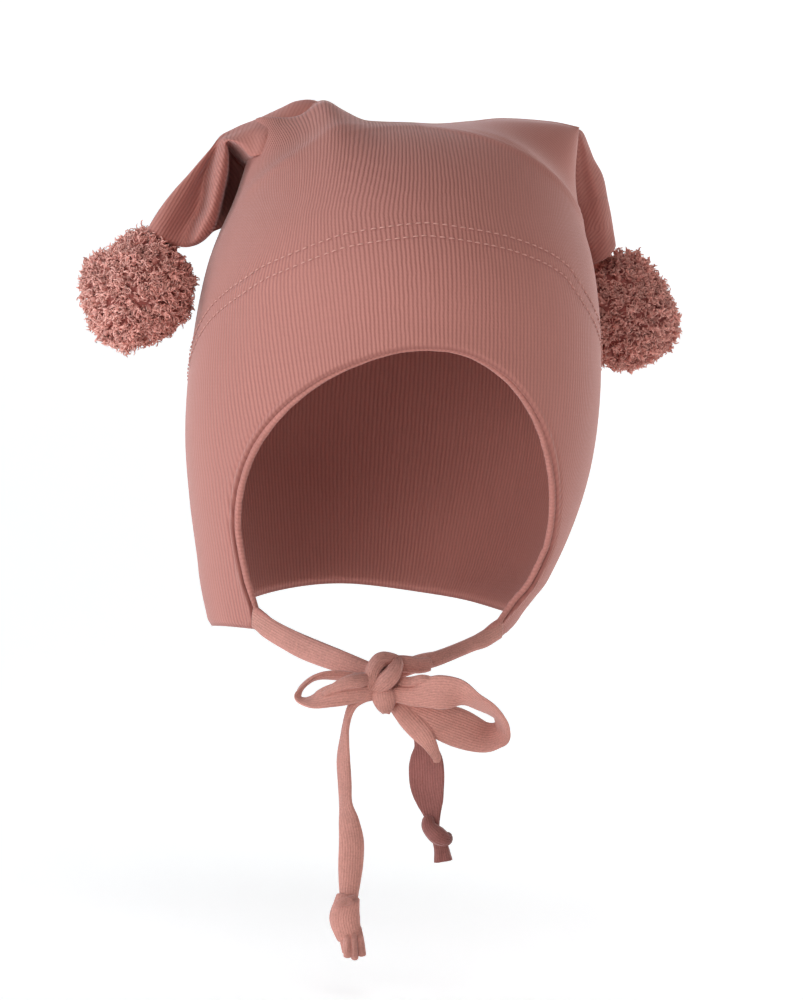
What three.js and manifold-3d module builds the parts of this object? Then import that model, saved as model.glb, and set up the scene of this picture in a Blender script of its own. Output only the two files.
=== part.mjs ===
// A baby's cotton bonnet in its worn form: a ribbed jersey crown that ends in two drooping
// hollow horns with a yarn pompom on each, a bound face opening, and two flat ties that meet
// in a bow under the chin. Millimetres, +Z up, the face towards -Y. Right and left are the
// wearer's, so right is -X. The origin is the inside top of the crown, where the head bears.

import * as THREE from 'three';
import { mergeVertices } from 'three/addons/utils/BufferGeometryUtils.js';
import Module from 'manifold-3d';

const wasm = await Module();
wasm.setup();

// ---- Driving dimensions ----

const CLOTH = 1.8; // thickness of the jersey wall
const GAP = 0.3; // clearance between neighbouring pieces
const SLIVER = 0.02; // edges shorter than this after a cut are merged
const NUDGE = 0.01; // share of a path to look ahead and back for its direction

// The crown is a stack of rounded sections up to the shoulder, and a dome above it that
// closes along a seam from side to side.
const SHOULDER_Z = -62;
const DOME_HEIGHT = -SHOULDER_Z;
const DOME_ARC = 100; // length of cloth from the shoulder up to the seam

// Half widths and depths of the crown's sections.
const CROWN_SECTIONS = [
  { z: -176, right: 56, left: 46, front: 46, back: 56 },
  { z: -162, right: 60, left: 51.5, front: 53, back: 62 },
  { z: -150, right: 62.5, left: 57, front: 60, back: 67 },
  { z: -131, right: 66.5, left: 63.5, front: 70, back: 75 },
  { z: -111, right: 69.5, left: 68, front: 76, back: 81 },
  { z: -90, right: 70, left: 69.5, front: 79, back: 84 },
  { z: -68, right: 68.5, left: 68.5, front: 79, back: 84 },
  { z: -51, right: 66, left: 66, front: 79, back: 84 },
  { z: -40, right: 63, left: 63.5, front: 79, back: 84 },
  { z: -28, right: 58.6, left: 59.5, front: 79, back: 84 },
  { z: -14, right: 55, left: 57, front: 79, back: 84 },
  { z: 0, right: 53, left: 57.5, front: 79, back: 84 },
  { z: 10, right: 53, left: 57.5, front: 79, back: 84 },
];

// How far the top seam stands over the origin, from the right corner to the left one, and
// how closely that lift keeps to the seam.
const SEAM_SHARPNESS = 6;
const SEAM_HEIGHTS = [
  { x: -60, lift: 0 },
  { x: -46, lift: 0.4 },
  { x: -40, lift: 1.8 },
  { x: -31, lift: 7 },
  { x: -22, lift: 4.6 },
  { x: -14, lift: 2 },
  { x: 0, lift: 1.8 },
  { x: 9, lift: 1.8 },
  { x: 20, lift: 3.6 },
  { x: 31, lift: 5.8 },
  { x: 48, lift: 6.2 },
  { x: 60, lift: 4.4 },
];

// The head fills the dome up to this ellipse, seen from the front. Outside it the cloth
// leaves the head at a crease and dips into a valley on its way to the horn.
const HEAD_EDGE = { halfWidth: 71.5, height: 65, z: -66 };
const VALLEY_DEPTH = 0.2; // share of the local depth
const VALLEY_REACH = 0.22; // distance of its floor from the crease, in ellipse units

// The face opening is a quarter oval from the forehead to each cheek, then a straight run
// down to the tie. The tie is sewn to the last stretch of it, and the rim goes from there
// by the side of the neck to the nape. Angles are round the crown from the forehead.
const FOREHEAD_Z = -75.8;
const NAPE_Z = -158;
const FACE_EDGE = {
  right: {
    cheekZ: -138, cheekAngle: 57.5, tieTopZ: -164.3, tieEndZ: -171.8, tieAngle: 52, sideZ: -172.5,
  },
  left: {
    cheekZ: -138, cheekAngle: 56, tieTopZ: -162, tieEndZ: -169.2, tieAngle: 51, sideZ: -166.5,
  },
};

// Columns of cloth in a quarter of the crown, and where they change from cheek to tie to rim.
const QUARTER_COLUMNS = 20;
const CHEEK_COLUMN = 13;
const TIE_TOP_COLUMN = 16;
const TIE_END_COLUMN = 17;
const CROWN_ROWS = 12;
const ROW_CROWDING = 1.25; // above 1, the rows lie closer near the opening and rim

// The horns, from inside the crown to the tip: the middle of each section, its half width
// across the hanging direction and its half depth.
const HORN_RIGHT = [
  { x: -30, y: 9, z: -6, across: 11.5, deep: 11 },
  { x: -38, y: 9, z: -6.5, across: 12.4, deep: 12 },
  { x: -47, y: 8, z: -10.4, across: 11.8, deep: 12.5 },
  { x: -56, y: 7, z: -17, across: 12, deep: 12.5 },
  { x: -65, y: 5, z: -25, across: 11.6, deep: 11.5 },
  { x: -71, y: 4, z: -33, across: 11.4, deep: 10 },
  { x: -75, y: 3, z: -40, across: 11.2, deep: 8 },
];
const HORN_LEFT = [
  { x: 32, y: 9, z: -7, across: 11, deep: 11 },
  { x: 46, y: 11, z: -8, across: 12, deep: 12.5 },
  { x: 58.5, y: 14, z: -12.5, across: 11.4, deep: 12.5 },
  { x: 63.5, y: 18, z: -23, across: 9.8, deep: 12 },
  { x: 68, y: 23, z: -33, across: 9.4, deep: 11 },
  { x: 71, y: 27, z: -40, across: 9.2, deep: 8.5 },
];
const HORN_SIDES = 16;
const HORN_STEPS = 9;
const HORN_TIP = 5; // length of the rounded end
const HORN_TIP_RINGS = [
  { along: 0.6, size: 0.8 },
  { along: 0.95, size: 0.35 },
];
const HORN_ROOT = 0.6; // how deep a horn's wall is set into the crown's
const HORN_CREASE = { at: 0.45, width: 0.3, depth: 0.16 }; // a fold along the horn's front

// Each pompom is a ball of yarn locks, a little taller than wide.
const POMPOM_RIGHT = { x: -89.5, y: 4, z: -61.8, radius: 20.8, tall: 1.08 };
const POMPOM_LEFT = { x: 85.6, y: 35, z: -57, radius: 22, tall: 1.05 };
const POMPOM_DETAIL = 6;
const POMPOM_LOCKS = 64;
const LOCK_WIDTH = 0.34; // radians
const LOCK_HEIGHT = 0.1; // share of the radius

const BINDING_WIDTH = 2.2;
const BINDING_THICKNESS = 2.8;

// Ties, loops and tails are flat strips of the same jersey. A row is the middle of the
// strip, its width and thickness there, and its turn: 0 lies flat to the front, 90 edge on.
const TIE_RIGHT = [
  { x: -44.7, y: -31.4, z: -168.2, wide: 7, thick: 2, turn: 0 },
  { x: -41.4, y: -36.8, z: -171, wide: 7, thick: 2, turn: 0 },
  { x: -36.6, y: -43, z: -173.4, wide: 7, thick: 2, turn: 0 },
  { x: -26.6, y: -52, z: -176.9, wide: 7, thick: 2.2, turn: 5 },
  { x: -18.3, y: -57, z: -179.4, wide: 6.5, thick: 2.6, turn: 10 },
  { x: -8, y: -61, z: -182, wide: 5.5, thick: 3, turn: 10 },
];
const TIE_LEFT = [
  { x: 37.4, y: -32.6, z: -165.8, wide: 6.8, thick: 2, turn: 0 },
  { x: 33.2, y: -37.4, z: -169, wide: 6.2, thick: 2.2, turn: 10 },
  { x: 28.2, y: -42, z: -172.4, wide: 5, thick: 2.6, turn: 25 },
  { x: 17.5, y: -50, z: -176.5, wide: 4.6, thick: 3, turn: 20 },
  { x: 7, y: -56.5, z: -179, wide: 5.4, thick: 3, turn: 10 },
  { x: -5, y: -62.5, z: -181.5, wide: 5.5, thick: 3, turn: 0 },
];
const LOOP_RIGHT = [
  { x: -8, y: -68.4, z: -187.4, wide: 5, thick: 3, turn: 0 },
  { x: -15.5, y: -70.5, z: -188, wide: 6.2, thick: 3, turn: 8 },
  { x: -22.5, y: -72, z: -190.2, wide: 6.4, thick: 2.2, turn: 30 },
  { x: -29, y: -71, z: -192.4, wide: 6.4, thick: 2, turn: 60 },
  { x: -33, y: -68, z: -191.5, wide: 6.4, thick: 2, turn: 85 },
  { x: -31.6, y: -64.5, z: -187, wide: 6.4, thick: 2, turn: 84 },
  { x: -26, y: -63.4, z: -184, wide: 6, thick: 2.2, turn: 72 },
  { x: -18.5, y: -63.8, z: -184.6, wide: 4.6, thick: 2.2, turn: 55 },
  { x: -8, y: -62.8, z: -184.6, wide: 4, thick: 2.6, turn: 50 },
];
const LOOP_LEFT = [
  { x: -2.5, y: -69.4, z: -187, wide: 4.6, thick: 2.8, turn: 0 },
  { x: 4.5, y: -71.5, z: -187.6, wide: 7.6, thick: 2.8, turn: 4 },
  { x: 12.5, y: -74, z: -186.2, wide: 10.6, thick: 2.4, turn: 6 },
  { x: 20.4, y: -74.6, z: -187, wide: 10.6, thick: 2.2, turn: 26 },
  { x: 27, y: -72.8, z: -189.6, wide: 10.4, thick: 2, turn: 62 },
  { x: 32.6, y: -68.6, z: -193.8, wide: 10.4, thick: 2, turn: 82 },
  { x: 33.2, y: -64.4, z: -199, wide: 10.4, thick: 2, turn: 56 },
  { x: 28.6, y: -62.4, z: -200.8, wide: 10.6, thick: 2, turn: 28 },
  { x: 19.6, y: -63, z: -198.4, wide: 10.8, thick: 2.2, turn: 8 },
  { x: 9.6, y: -65, z: -194.6, wide: 9, thick: 2.6, turn: 4 },
  { x: -2.5, y: -64, z: -191, wide: 5, thick: 2.8, turn: 0 },
];

// The free ends hang from the knot. Each is a soft tube of cloth that ends in a small knot
// with a tuft of cloth below it, from the knot's middle down to the tuft's row.
const TAIL_RIGHT = {
  route: [
    { x: -9, y: -66, z: -189 },
    { x: -14.6, y: -68, z: -193.4 },
    { x: -16.6, y: -66, z: -202 },
    { x: -17, y: -65, z: -210 },
    { x: -16.4, y: -64, z: -218.4 },
    { x: -15.2, y: -64, z: -226 },
    { x: -13.2, y: -64, z: -235 },
    { x: -12, y: -64, z: -245 },
    { x: -12.4, y: -64, z: -256.4 },
  ],
  wide: 6.6,
  thick: 3,
  knot: { x: -12.4, y: -64, z: -261.6, across: 5, deep: 3.6, tall: 6 },
  tuft: { x: -9.9, y: -64, z: -274, across: 4.4, deep: 2.2 },
};
const TAIL_LEFT = {
  route: [
    { x: -1, y: -62, z: -191 },
    { x: 3.4, y: -60, z: -197 },
    { x: 8, y: -59, z: -204.5 },
    { x: 10.3, y: -60, z: -211.6 },
    { x: 12.1, y: -61.5, z: -220.3 },
    { x: 13.3, y: -62.5, z: -228.4 },
  ],
  wide: 8.6,
  thick: 3.2,
  knot: { x: 14.5, y: -63, z: -232.6, across: 4.8, deep: 3.8, tall: 4.8 },
  tuft: { x: 17.8, y: -63.5, z: -242, across: 3.4, deep: 2.4 },
};

const TAIL_SIDES = 8;
const TIE_STEPS = 12;
const LOOP_RIGHT_STEPS = 18;
const LOOP_LEFT_STEPS = 22;

// The bow's knot: rounded lobes of cloth wrapped over one another.
const BOW_LOBES = [
  { x: -7.6, y: -65.5, z: -181, across: 4.4, deep: 5, tall: 6.6, lean: 14 },
  { x: -5.2, y: -67, z: -186, across: 4.6, deep: 5, tall: 7, lean: -30 },
  { x: -4.8, y: -64.5, z: -189.8, across: 5, deep: 4.6, tall: 5.2, lean: 0 },
];

const JERSEY = new THREE.Color(0xac7369);
const JERSEY_LIT = new THREE.Color(0xbe7f74);
const YARN = new THREE.Color(0xa96c63);

// ---- Helpers ----

const lerp = THREE.MathUtils.lerp;
const clamp = THREE.MathUtils.clamp;
const radians = THREE.MathUtils.degToRad;
const vector = (x, y, z) => new THREE.Vector3(x, y, z);

// A smooth reading of one column of a table at a place along its key column.
function readTable(table, key, at, column) {
  let i = 0;
  while (i < table.length - 2 && table[i + 1][key] < at) i += 1;
  const row = (k) => table[clamp(k, 0, table.length - 1)];
  const share = clamp((at - table[i][key]) / (table[i + 1][key] - table[i][key]), 0, 1);
  const span = table[i + 1][key] - table[i][key];
  const slope = (k) => (row(k + 1)[column] - row(k - 1)[column])
    / (row(k + 1)[key] - row(k - 1)[key] || 1);
  const [a, b] = [table[i][column], table[i + 1][column]];
  const [ma, mb] = [slope(i) * span, slope(i + 1) * span];
  const s2 = share * share;
  const s3 = s2 * share;
  return (2 * s3 - 3 * s2 + 1) * a + (s3 - 2 * s2 + share) * ma
    + (3 * s2 - 2 * s3) * b + (s3 - s2) * mb;
}

// Rows of a table as a smooth path, each column read at a share of the way.
function readPath(table, share, column) {
  const numbered = table.map((row, k) => ({ ...row, k }));
  return readTable(numbered, 'k', share * (table.length - 1), column);
}

// The direction of a path at a share of the way.
function heading(middle, t) {
  return middle(Math.min(t + NUDGE, 1)).sub(middle(Math.max(t - NUDGE, 0))).normalize();
}

function meshFrom(points, faces) {
  const geometry = new THREE.BufferGeometry();
  const flat = faces.flat().flatMap((i) => points[i].toArray());
  geometry.setAttribute('position', new THREE.Float32BufferAttribute(flat, 3));
  return geometry;
}

// A skin through rings of equal count, closed at both ends by a fan.
function loft(rings) {
  const count = rings[0].length;
  const points = rings.flat();
  const faces = [];
  for (let r = 0; r < rings.length - 1; r += 1) {
    for (let k = 0; k < count; k += 1) {
      const a = r * count + k;
      const b = r * count + ((k + 1) % count);
      faces.push([a, b, b + count], [a, b + count, a + count]);
    }
  }
  const ends = [
    { ring: rings[0], first: 0, flip: true },
    { ring: rings.at(-1), first: count * (rings.length - 1), flip: false },
  ];
  for (const { ring, first, flip } of ends) {
    const middle = ring.reduce((sum, p) => sum.add(p), vector(0, 0, 0)).divideScalar(count);
    const m = points.push(middle) - 1;
    for (let k = 0; k < count; k += 1) {
      const a = first + k;
      const b = first + ((k + 1) % count);
      faces.push(flip ? [m, b, a] : [m, a, b]);
    }
  }
  return meshFrom(points, faces);
}

// A manifold solid with its faces turned out.
function solid(geometry) {
  const bare = geometry.index ? geometry.toNonIndexed() : geometry.clone();
  bare.deleteAttribute('normal');
  bare.deleteAttribute('uv');
  const merged = mergeVertices(bare, 1e-3);
  const triangles = [];
  const index = merged.index.array;
  for (let i = 0; i < index.length; i += 3) {
    const [a, b, c] = [index[i], index[i + 1], index[i + 2]];
    if (a !== b && b !== c && c !== a) triangles.push(a, b, c);
  }
  const make = (list) => new wasm.Manifold(new wasm.Mesh({
    numProp: 3,
    vertProperties: new Float32Array(merged.attributes.position.array),
    triVerts: new Uint32Array(list),
  }));
  const first = make(triangles);
  if (first.volume() > 0) return first;
  for (let i = 0; i < triangles.length; i += 3) {
    [triangles[i + 1], triangles[i + 2]] = [triangles[i + 2], triangles[i + 1]];
  }
  return make(triangles);
}

function geometryOf(manifold) {
  const mesh = manifold.getMesh();
  const geometry = new THREE.BufferGeometry();
  const positions = [];
  for (let i = 0; i < mesh.vertProperties.length; i += mesh.numProp) {
    positions.push(...mesh.vertProperties.slice(i, i + 3));
  }
  geometry.setAttribute('position', new THREE.Float32BufferAttribute(positions, 3));
  geometry.setIndex([...mesh.triVerts]);
  return geometry;
}

// The biggest of a solid's separate bodies: what is left when a cut parts it.
function largest(manifold) {
  return manifold.decompose().reduce((best, next) => (next.volume() > best.volume() ? next : best));
}

// ---- Crown ----

function valley(x, z) {
  const reach = (x / HEAD_EDGE.halfWidth) ** 2 + ((z - HEAD_EDGE.z) / HEAD_EDGE.height) ** 2 - 1;
  if (reach <= 0 || z < HEAD_EDGE.z) return 0;
  const r = reach / VALLEY_REACH;
  return r * Math.exp(1 - r);
}

// The crown's surface: the angle is 0 at the forehead and 180 at the nape, positive to the
// wearer's left, and the level is the length of cloth above the shoulder.
function crownPoint(angle, level, inset) {
  const turn = radians(angle);
  const rise = (Math.max(level, 0) / DOME_ARC) * (Math.PI / 2);
  const height = DOME_HEIGHT - inset;
  const z = SHOULDER_Z + (level < 0 ? level : height * Math.sin(rise));
  const side = Math.sin(turn) < 0 ? 'right' : 'left';
  const facing = Math.cos(turn) > 0 ? 'front' : 'back';
  const x = Math.sin(turn) * (readTable(CROWN_SECTIONS, 'z', z, side) - inset);
  const depth = (readTable(CROWN_SECTIONS, 'z', z, facing) - inset) * Math.cos(rise);
  const dip = facing === 'front' ? VALLEY_DEPTH * valley(x, z) : 0;
  const lift = readTable(SEAM_HEIGHTS, 'x', x, 'lift') * Math.sin(rise) ** SEAM_SHARPNESS;
  return vector(x, -Math.cos(turn) * depth * (1 - dip), z + lift);
}

// Where a column of cloth ends below, as an angle and a height, and its angle at the seam.
function columnEnds(column, edge) {
  const top = (90 * column) / QUARTER_COLUMNS;
  if (column <= CHEEK_COLUMN) {
    const t = radians((90 * column) / CHEEK_COLUMN);
    const z = lerp(edge.cheekZ, FOREHEAD_Z, Math.cos(t));
    return { angle: edge.cheekAngle * Math.sin(t), z, top };
  }
  if (column <= TIE_TOP_COLUMN) {
    const t = (column - CHEEK_COLUMN) / (TIE_TOP_COLUMN - CHEEK_COLUMN);
    const z = lerp(edge.cheekZ, edge.tieTopZ, t);
    return { angle: flapAngle(z, edge), z, top };
  }
  if (column <= TIE_END_COLUMN) {
    return { angle: edge.tieAngle, z: edge.tieEndZ, top };
  }
  if (column <= QUARTER_COLUMNS) {
    const t = (column - TIE_END_COLUMN) / (QUARTER_COLUMNS - TIE_END_COLUMN);
    return { angle: lerp(edge.tieAngle, 90, t), z: lerp(edge.tieEndZ, edge.sideZ, t), top };
  }
  const t = (column - QUARTER_COLUMNS) / QUARTER_COLUMNS;
  const z = lerp(edge.sideZ, NAPE_Z, (1 - Math.cos(t * Math.PI)) / 2);
  return { angle: lerp(90, 180, t), z, top };
}

// The angle of the flap's front edge at a height between the cheek and the tie.
function flapAngle(z, edge) {
  const t = clamp((edge.cheekZ - z) / (edge.cheekZ - edge.tieTopZ), 0, 1);
  return lerp(edge.cheekAngle, edge.tieAngle, t * t);
}

// A place on a column, from 0 at the opening or rim up to 1 at the seam. Columns run round
// the crown from the forehead, over the wearer's left side and back over the right.
function columnPoint(index, t, inset) {
  const half = 2 * QUARTER_COLUMNS;
  const mirrored = index > half ? 2 * half - index : index;
  const side = index > half ? -1 : 1;
  const edge = side > 0 ? FACE_EDGE.left : FACE_EDGE.right;
  const ends = columnEnds(mirrored, edge);
  const level = lerp(ends.z - SHOULDER_Z, DOME_ARC, t);
  const onFlap = mirrored > CHEEK_COLUMN && mirrored <= TIE_END_COLUMN;
  const start = onFlap ? flapAngle(SHOULDER_Z + Math.min(level, 0), edge) : ends.angle;
  return crownPoint(side * lerp(start, ends.top, t), level, inset);
}

function crownShell() {
  const count = 4 * QUARTER_COLUMNS;
  const points = [];
  const faces = [];
  const rows = CROWN_ROWS + 1;
  for (const inset of [0, CLOTH]) {
    for (let c = 0; c < count; c += 1) {
      for (let r = 0; r < rows; r += 1) {
        points.push(columnPoint(c, (r / CROWN_ROWS) ** ROW_CROWDING, inset));
      }
    }
  }
  const at = (skin, column, row) => (skin * count + (column % count)) * rows + row;
  for (let c = 0; c < count; c += 1) {
    for (let r = 0; r < CROWN_ROWS; r += 1) {
      for (const skin of [0, 1]) {
        const [a, b] = [at(skin, c, r), at(skin, c + 1, r)];
        if (skin) faces.push([a, b + 1, b], [a, a + 1, b + 1]);
        else faces.push([a, b, b + 1], [a, b + 1, a + 1]);
      }
    }
    const [a, b] = [at(0, c, 0), at(0, c + 1, 0)];
    const [innerA, innerB] = [at(1, c, 0), at(1, c + 1, 0)];
    faces.push([a, innerA, innerB], [a, innerB, b]);
  }
  return solid(meshFrom(points, faces));
}

// The hollow under the dome, from a level below the horns up to the seam.
function domeHollow(inset) {
  const count = 2 * QUARTER_COLUMNS;
  const rings = [];
  for (let row = 0; row < CROWN_ROWS; row += 1) {
    const level = (DOME_ARC * row) / CROWN_ROWS;
    const ring = [];
    for (let c = 0; c < count; c += 1) ring.push(crownPoint((360 * c) / count, level, inset));
    rings.push(ring);
  }
  return solid(loft(rings));
}

// ---- Horns ----

// A horn's skin: sections square to its path, with a fold along its front.
function hornLoft(table, inset, tipLength) {
  const middle = (t) => vector(...['x', 'y', 'z'].map((c) => readPath(table, t, c)));
  const rings = [];
  for (let step = 0; step <= HORN_STEPS; step += 1) {
    const t = step / HORN_STEPS;
    const ahead = heading(middle, t);
    const across = ahead.clone().cross(vector(0, 1, 0)).normalize();
    const deep = across.clone().cross(ahead);
    const sizes = ['across', 'deep'].map((c) => readPath(table, t, c) - inset);
    rings.push({ centre: middle(t), ahead, across, deep, sizes });
  }
  const tip = rings.at(-1);
  for (const { along, size } of HORN_TIP_RINGS) {
    const centre = tip.centre.clone().addScaledVector(tip.ahead, tipLength * along);
    rings.push({ ...tip, centre, sizes: tip.sizes.map((s) => s * size) });
  }
  return solid(loft(rings.map((ring) => {
    const side = ring.across.x * table[0].x > 0 ? 1 : -1;
    const points = [];
    for (let k = 0; k < HORN_SIDES; k += 1) {
      const turn = (2 * Math.PI * k) / HORN_SIDES;
      const [c, d] = [side * Math.cos(turn), Math.sin(turn)];
      const fold = Math.exp(-(((Math.cos(turn) - HORN_CREASE.at) / HORN_CREASE.width) ** 2));
      const front = ring.deep.y * d < 0 ? 1 - HORN_CREASE.depth * fold : 1;
      points.push(ring.centre.clone()
        .addScaledVector(ring.across, c * ring.sizes[0])
        .addScaledVector(ring.deep, d * ring.sizes[1] * front));
    }
    return points;
  })));
}

function crown() {
  let cloth = crownShell();
  const hollow = domeHollow(CLOTH - HORN_ROOT);
  for (const horn of [HORN_RIGHT, HORN_LEFT]) {
    cloth = cloth.add(hornLoft(horn, 0, HORN_TIP).subtract(hollow));
  }
  for (const horn of [HORN_RIGHT, HORN_LEFT]) {
    cloth = cloth.subtract(hornLoft(horn, CLOTH, HORN_TIP - CLOTH));
  }
  return largest(cloth);
}

// ---- Pompoms ----

function pompom(place) {
  const geometry = new THREE.IcosahedronGeometry(1, POMPOM_DETAIL);
  const locks = [];
  const golden = Math.PI * (3 - Math.sqrt(5));
  for (let k = 0; k < POMPOM_LOCKS; k += 1) {
    const up = 1 - (2 * k + 1) / POMPOM_LOCKS;
    const round = Math.sqrt(1 - up * up);
    locks.push(vector(round * Math.cos(k * golden), round * Math.sin(k * golden), up));
  }
  const positions = geometry.attributes.position;
  const p = vector(0, 0, 0);
  for (let i = 0; i < positions.count; i += 1) {
    p.fromBufferAttribute(positions, i).normalize();
    const nearest = Math.min(...locks.map((lock) => lock.angleTo(p)));
    const dip = LOCK_HEIGHT * Math.min(1, (nearest / LOCK_WIDTH) ** 2);
    p.multiplyScalar(place.radius * (1 - dip));
    positions.setXYZ(i, p.x, p.y, p.z * place.tall);
  }
  return solid(geometry.translate(place.x, place.y, place.z));
}

// ---- Binding ----

// A strip's rounded section, as shares of its half width and half thickness.
const STRIP_SECTION = [
  [-1, -0.4], [-1, 0.4], [-0.7, 1], [0.7, 1], [1, 0.4], [1, -0.4], [0.7, -1], [-0.7, -1],
];

// The binding runs edge to edge with the crown, from tie to tie over the forehead.
function faceBinding() {
  const rings = [];
  const count = 4 * QUARTER_COLUMNS;
  const at = (column, inset) => columnPoint((column + count) % count, 0, inset);
  for (let column = -TIE_TOP_COLUMN; column <= TIE_TOP_COLUMN; column += 1) {
    const outer = at(column, 0);
    const inner = at(column, CLOTH);
    const along = at(column + 1, 0).sub(at(column - 1, 0)).normalize();
    const normal = outer.clone().sub(inner).normalize();
    const inward = along.clone().cross(normal).normalize();
    const middle = outer.add(inner).multiplyScalar(0.5)
      .addScaledVector(inward, 2 * GAP + BINDING_WIDTH / 2);
    rings.push(STRIP_SECTION.map(([w, n]) => middle.clone()
      .addScaledVector(inward, (w * BINDING_WIDTH) / 2)
      .addScaledVector(normal, (n * BINDING_THICKNESS) / 2)));
  }
  return solid(loft(rings));
}

// ---- Straps, loops, knots and tails ----

// A flat strip along its table's rows. Grown, it is larger all round and at both ends.
function strip(table, steps, grow = 0) {
  const middle = (t) => vector(...['x', 'y', 'z'].map((c) => readPath(table, t, c)));
  const rings = [];
  for (let step = 0; step <= steps; step += 1) {
    const t = step / steps;
    const along = heading(middle, t);
    const flat = along.clone().cross(vector(0, -1, 0)).normalize()
      .applyAxisAngle(along, radians(readPath(table, t, 'turn')));
    const normal = flat.clone().cross(along);
    const half = ['wide', 'thick'].map((c) => readPath(table, t, c) / 2 + grow);
    const beyond = { 0: -grow, [steps]: grow };
    const centre = middle(t).addScaledVector(along, beyond[step] ?? 0);
    rings.push(STRIP_SECTION.map(([w, n]) => centre.clone()
      .addScaledVector(flat, w * half[0])
      .addScaledVector(normal, n * half[1])));
  }
  return solid(loft(rings));
}

function lobe({ x, y, z, across, deep, tall, lean = 0 }, grow = 0) {
  const shape = new THREE.IcosahedronGeometry(1, 2)
    .scale(across + grow, deep + grow, tall + grow)
    .rotateY(radians(lean))
    .translate(x, y, z);
  return solid(shape);
}

function bowKnot(grow = 0) {
  return BOW_LOBES.map((row) => lobe(row, grow)).reduce((sum, next) => sum.add(next));
}

function tail({ route, wide, thick, knot, tuft }, grow = 0) {
  const path = new THREE.CatmullRomCurve3(route.map(({ x, y, z }) => vector(x, y, z)));
  const section = new THREE.Shape();
  for (let k = 0; k < TAIL_SIDES; k += 1) {
    const turn = (2 * Math.PI * (k + 0.5)) / TAIL_SIDES;
    const [u, v] = [(thick / 2 + grow) * Math.cos(turn), (wide / 2 + grow) * Math.sin(turn)];
    if (k) section.lineTo(u, v);
    else section.moveTo(u, v);
  }
  section.closePath();
  const tube = new THREE.ExtrudeGeometry(section, { steps: 2 * route.length, extrudePath: path });
  const end = [
    { ...knot, wide: knot.across * 1.4, thick: knot.deep * 1.2, turn: 0 },
    { ...tuft, wide: tuft.across * 2, thick: tuft.deep * 2, turn: 0 },
  ];
  return solid(tube).add(lobe(knot, grow)).add(strip(end, 2, grow));
}

// ---- Assembly ----

const bonnet = new THREE.Group();

function addPiece(name, piece, colour) {
  const material = new THREE.MeshStandardMaterial({ color: colour, roughness: 0.95, metalness: 0 });
  const mesh = new THREE.Mesh(geometryOf(piece.simplify(SLIVER)), material);
  mesh.name = name;
  bonnet.add(mesh);
}

addPiece('crown', crown(), JERSEY);
addPiece('face_binding', faceBinding(), JERSEY);
for (const [side, horn, place] of [
  ['right', HORN_RIGHT, POMPOM_RIGHT],
  ['left', HORN_LEFT, POMPOM_LEFT],
]) {
  addPiece(`pompom_${side}`, largest(pompom(place).subtract(hornLoft(horn, -GAP, HORN_TIP + GAP))), YARN);
}

// The strips lie against one another at the knot, each cut clear of those before it.
addPiece('bow_knot', bowKnot(), JERSEY_LIT);
let taken = bowKnot(GAP);
for (const [name, make] of [
  ['chin_tie_right', (grow) => strip(TIE_RIGHT, TIE_STEPS, grow)],
  ['chin_tie_left', (grow) => strip(TIE_LEFT, TIE_STEPS, grow)],
  ['bow_loop_right', (grow) => strip(LOOP_RIGHT, LOOP_RIGHT_STEPS, grow)],
  ['bow_loop_left', (grow) => strip(LOOP_LEFT, LOOP_LEFT_STEPS, grow)],
  ['tie_tail_right', (grow) => tail(TAIL_RIGHT, grow)],
  ['tie_tail_left', (grow) => tail(TAIL_LEFT, grow)],
]) {
  addPiece(name, largest(make(0).subtract(taken)), JERSEY_LIT);
  taken = taken.add(make(GAP));
}

export default bonnet;
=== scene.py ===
"""A baby's two-horned cotton bonnet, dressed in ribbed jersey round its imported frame.

Lengths in the tables are millimetres in the frame of the part: +Z up, the face towards -Y,
the wearer's right towards -X, and the origin at the inside top of the crown.
"""

import math

import bpy
import numpy as np
from bpy.props import FloatProperty, FloatVectorProperty, IntProperty, PointerProperty
from mathutils import Matrix, Vector


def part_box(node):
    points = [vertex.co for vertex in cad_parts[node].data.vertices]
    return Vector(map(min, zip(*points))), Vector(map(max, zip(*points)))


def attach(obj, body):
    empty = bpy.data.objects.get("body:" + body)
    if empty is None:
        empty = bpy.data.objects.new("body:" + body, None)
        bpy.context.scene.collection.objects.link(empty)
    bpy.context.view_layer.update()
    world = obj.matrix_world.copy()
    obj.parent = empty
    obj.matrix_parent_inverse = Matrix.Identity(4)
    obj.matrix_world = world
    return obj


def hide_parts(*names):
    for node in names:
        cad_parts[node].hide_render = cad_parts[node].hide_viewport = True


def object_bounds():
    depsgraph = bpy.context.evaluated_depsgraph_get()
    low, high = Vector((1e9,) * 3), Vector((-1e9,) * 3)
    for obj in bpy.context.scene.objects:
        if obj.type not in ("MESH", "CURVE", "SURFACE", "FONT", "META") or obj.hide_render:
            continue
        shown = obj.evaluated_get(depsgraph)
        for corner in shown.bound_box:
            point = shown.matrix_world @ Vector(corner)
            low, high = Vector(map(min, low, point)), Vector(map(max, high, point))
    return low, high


bl_info = {
    "name": "Two-Horned Baby Bonnet",
    "version": (1, 0, 0),
    "blender": (4, 5, 0),
    "location": "View3D > Sidebar > Bonnet",
    "description": "Builds a ribbed cotton bonnet with pompoms and chin ties",
    "category": "Object",
}

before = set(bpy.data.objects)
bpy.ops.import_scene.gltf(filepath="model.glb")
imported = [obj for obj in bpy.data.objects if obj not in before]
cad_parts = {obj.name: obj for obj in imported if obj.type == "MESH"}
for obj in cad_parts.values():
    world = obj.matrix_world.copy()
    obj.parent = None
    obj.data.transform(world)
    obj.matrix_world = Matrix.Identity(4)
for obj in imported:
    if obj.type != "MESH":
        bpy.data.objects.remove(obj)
CAD_BOX = [list(corner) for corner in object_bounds()]
MM = 0.001


# ---- Tables and curves ----


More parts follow.
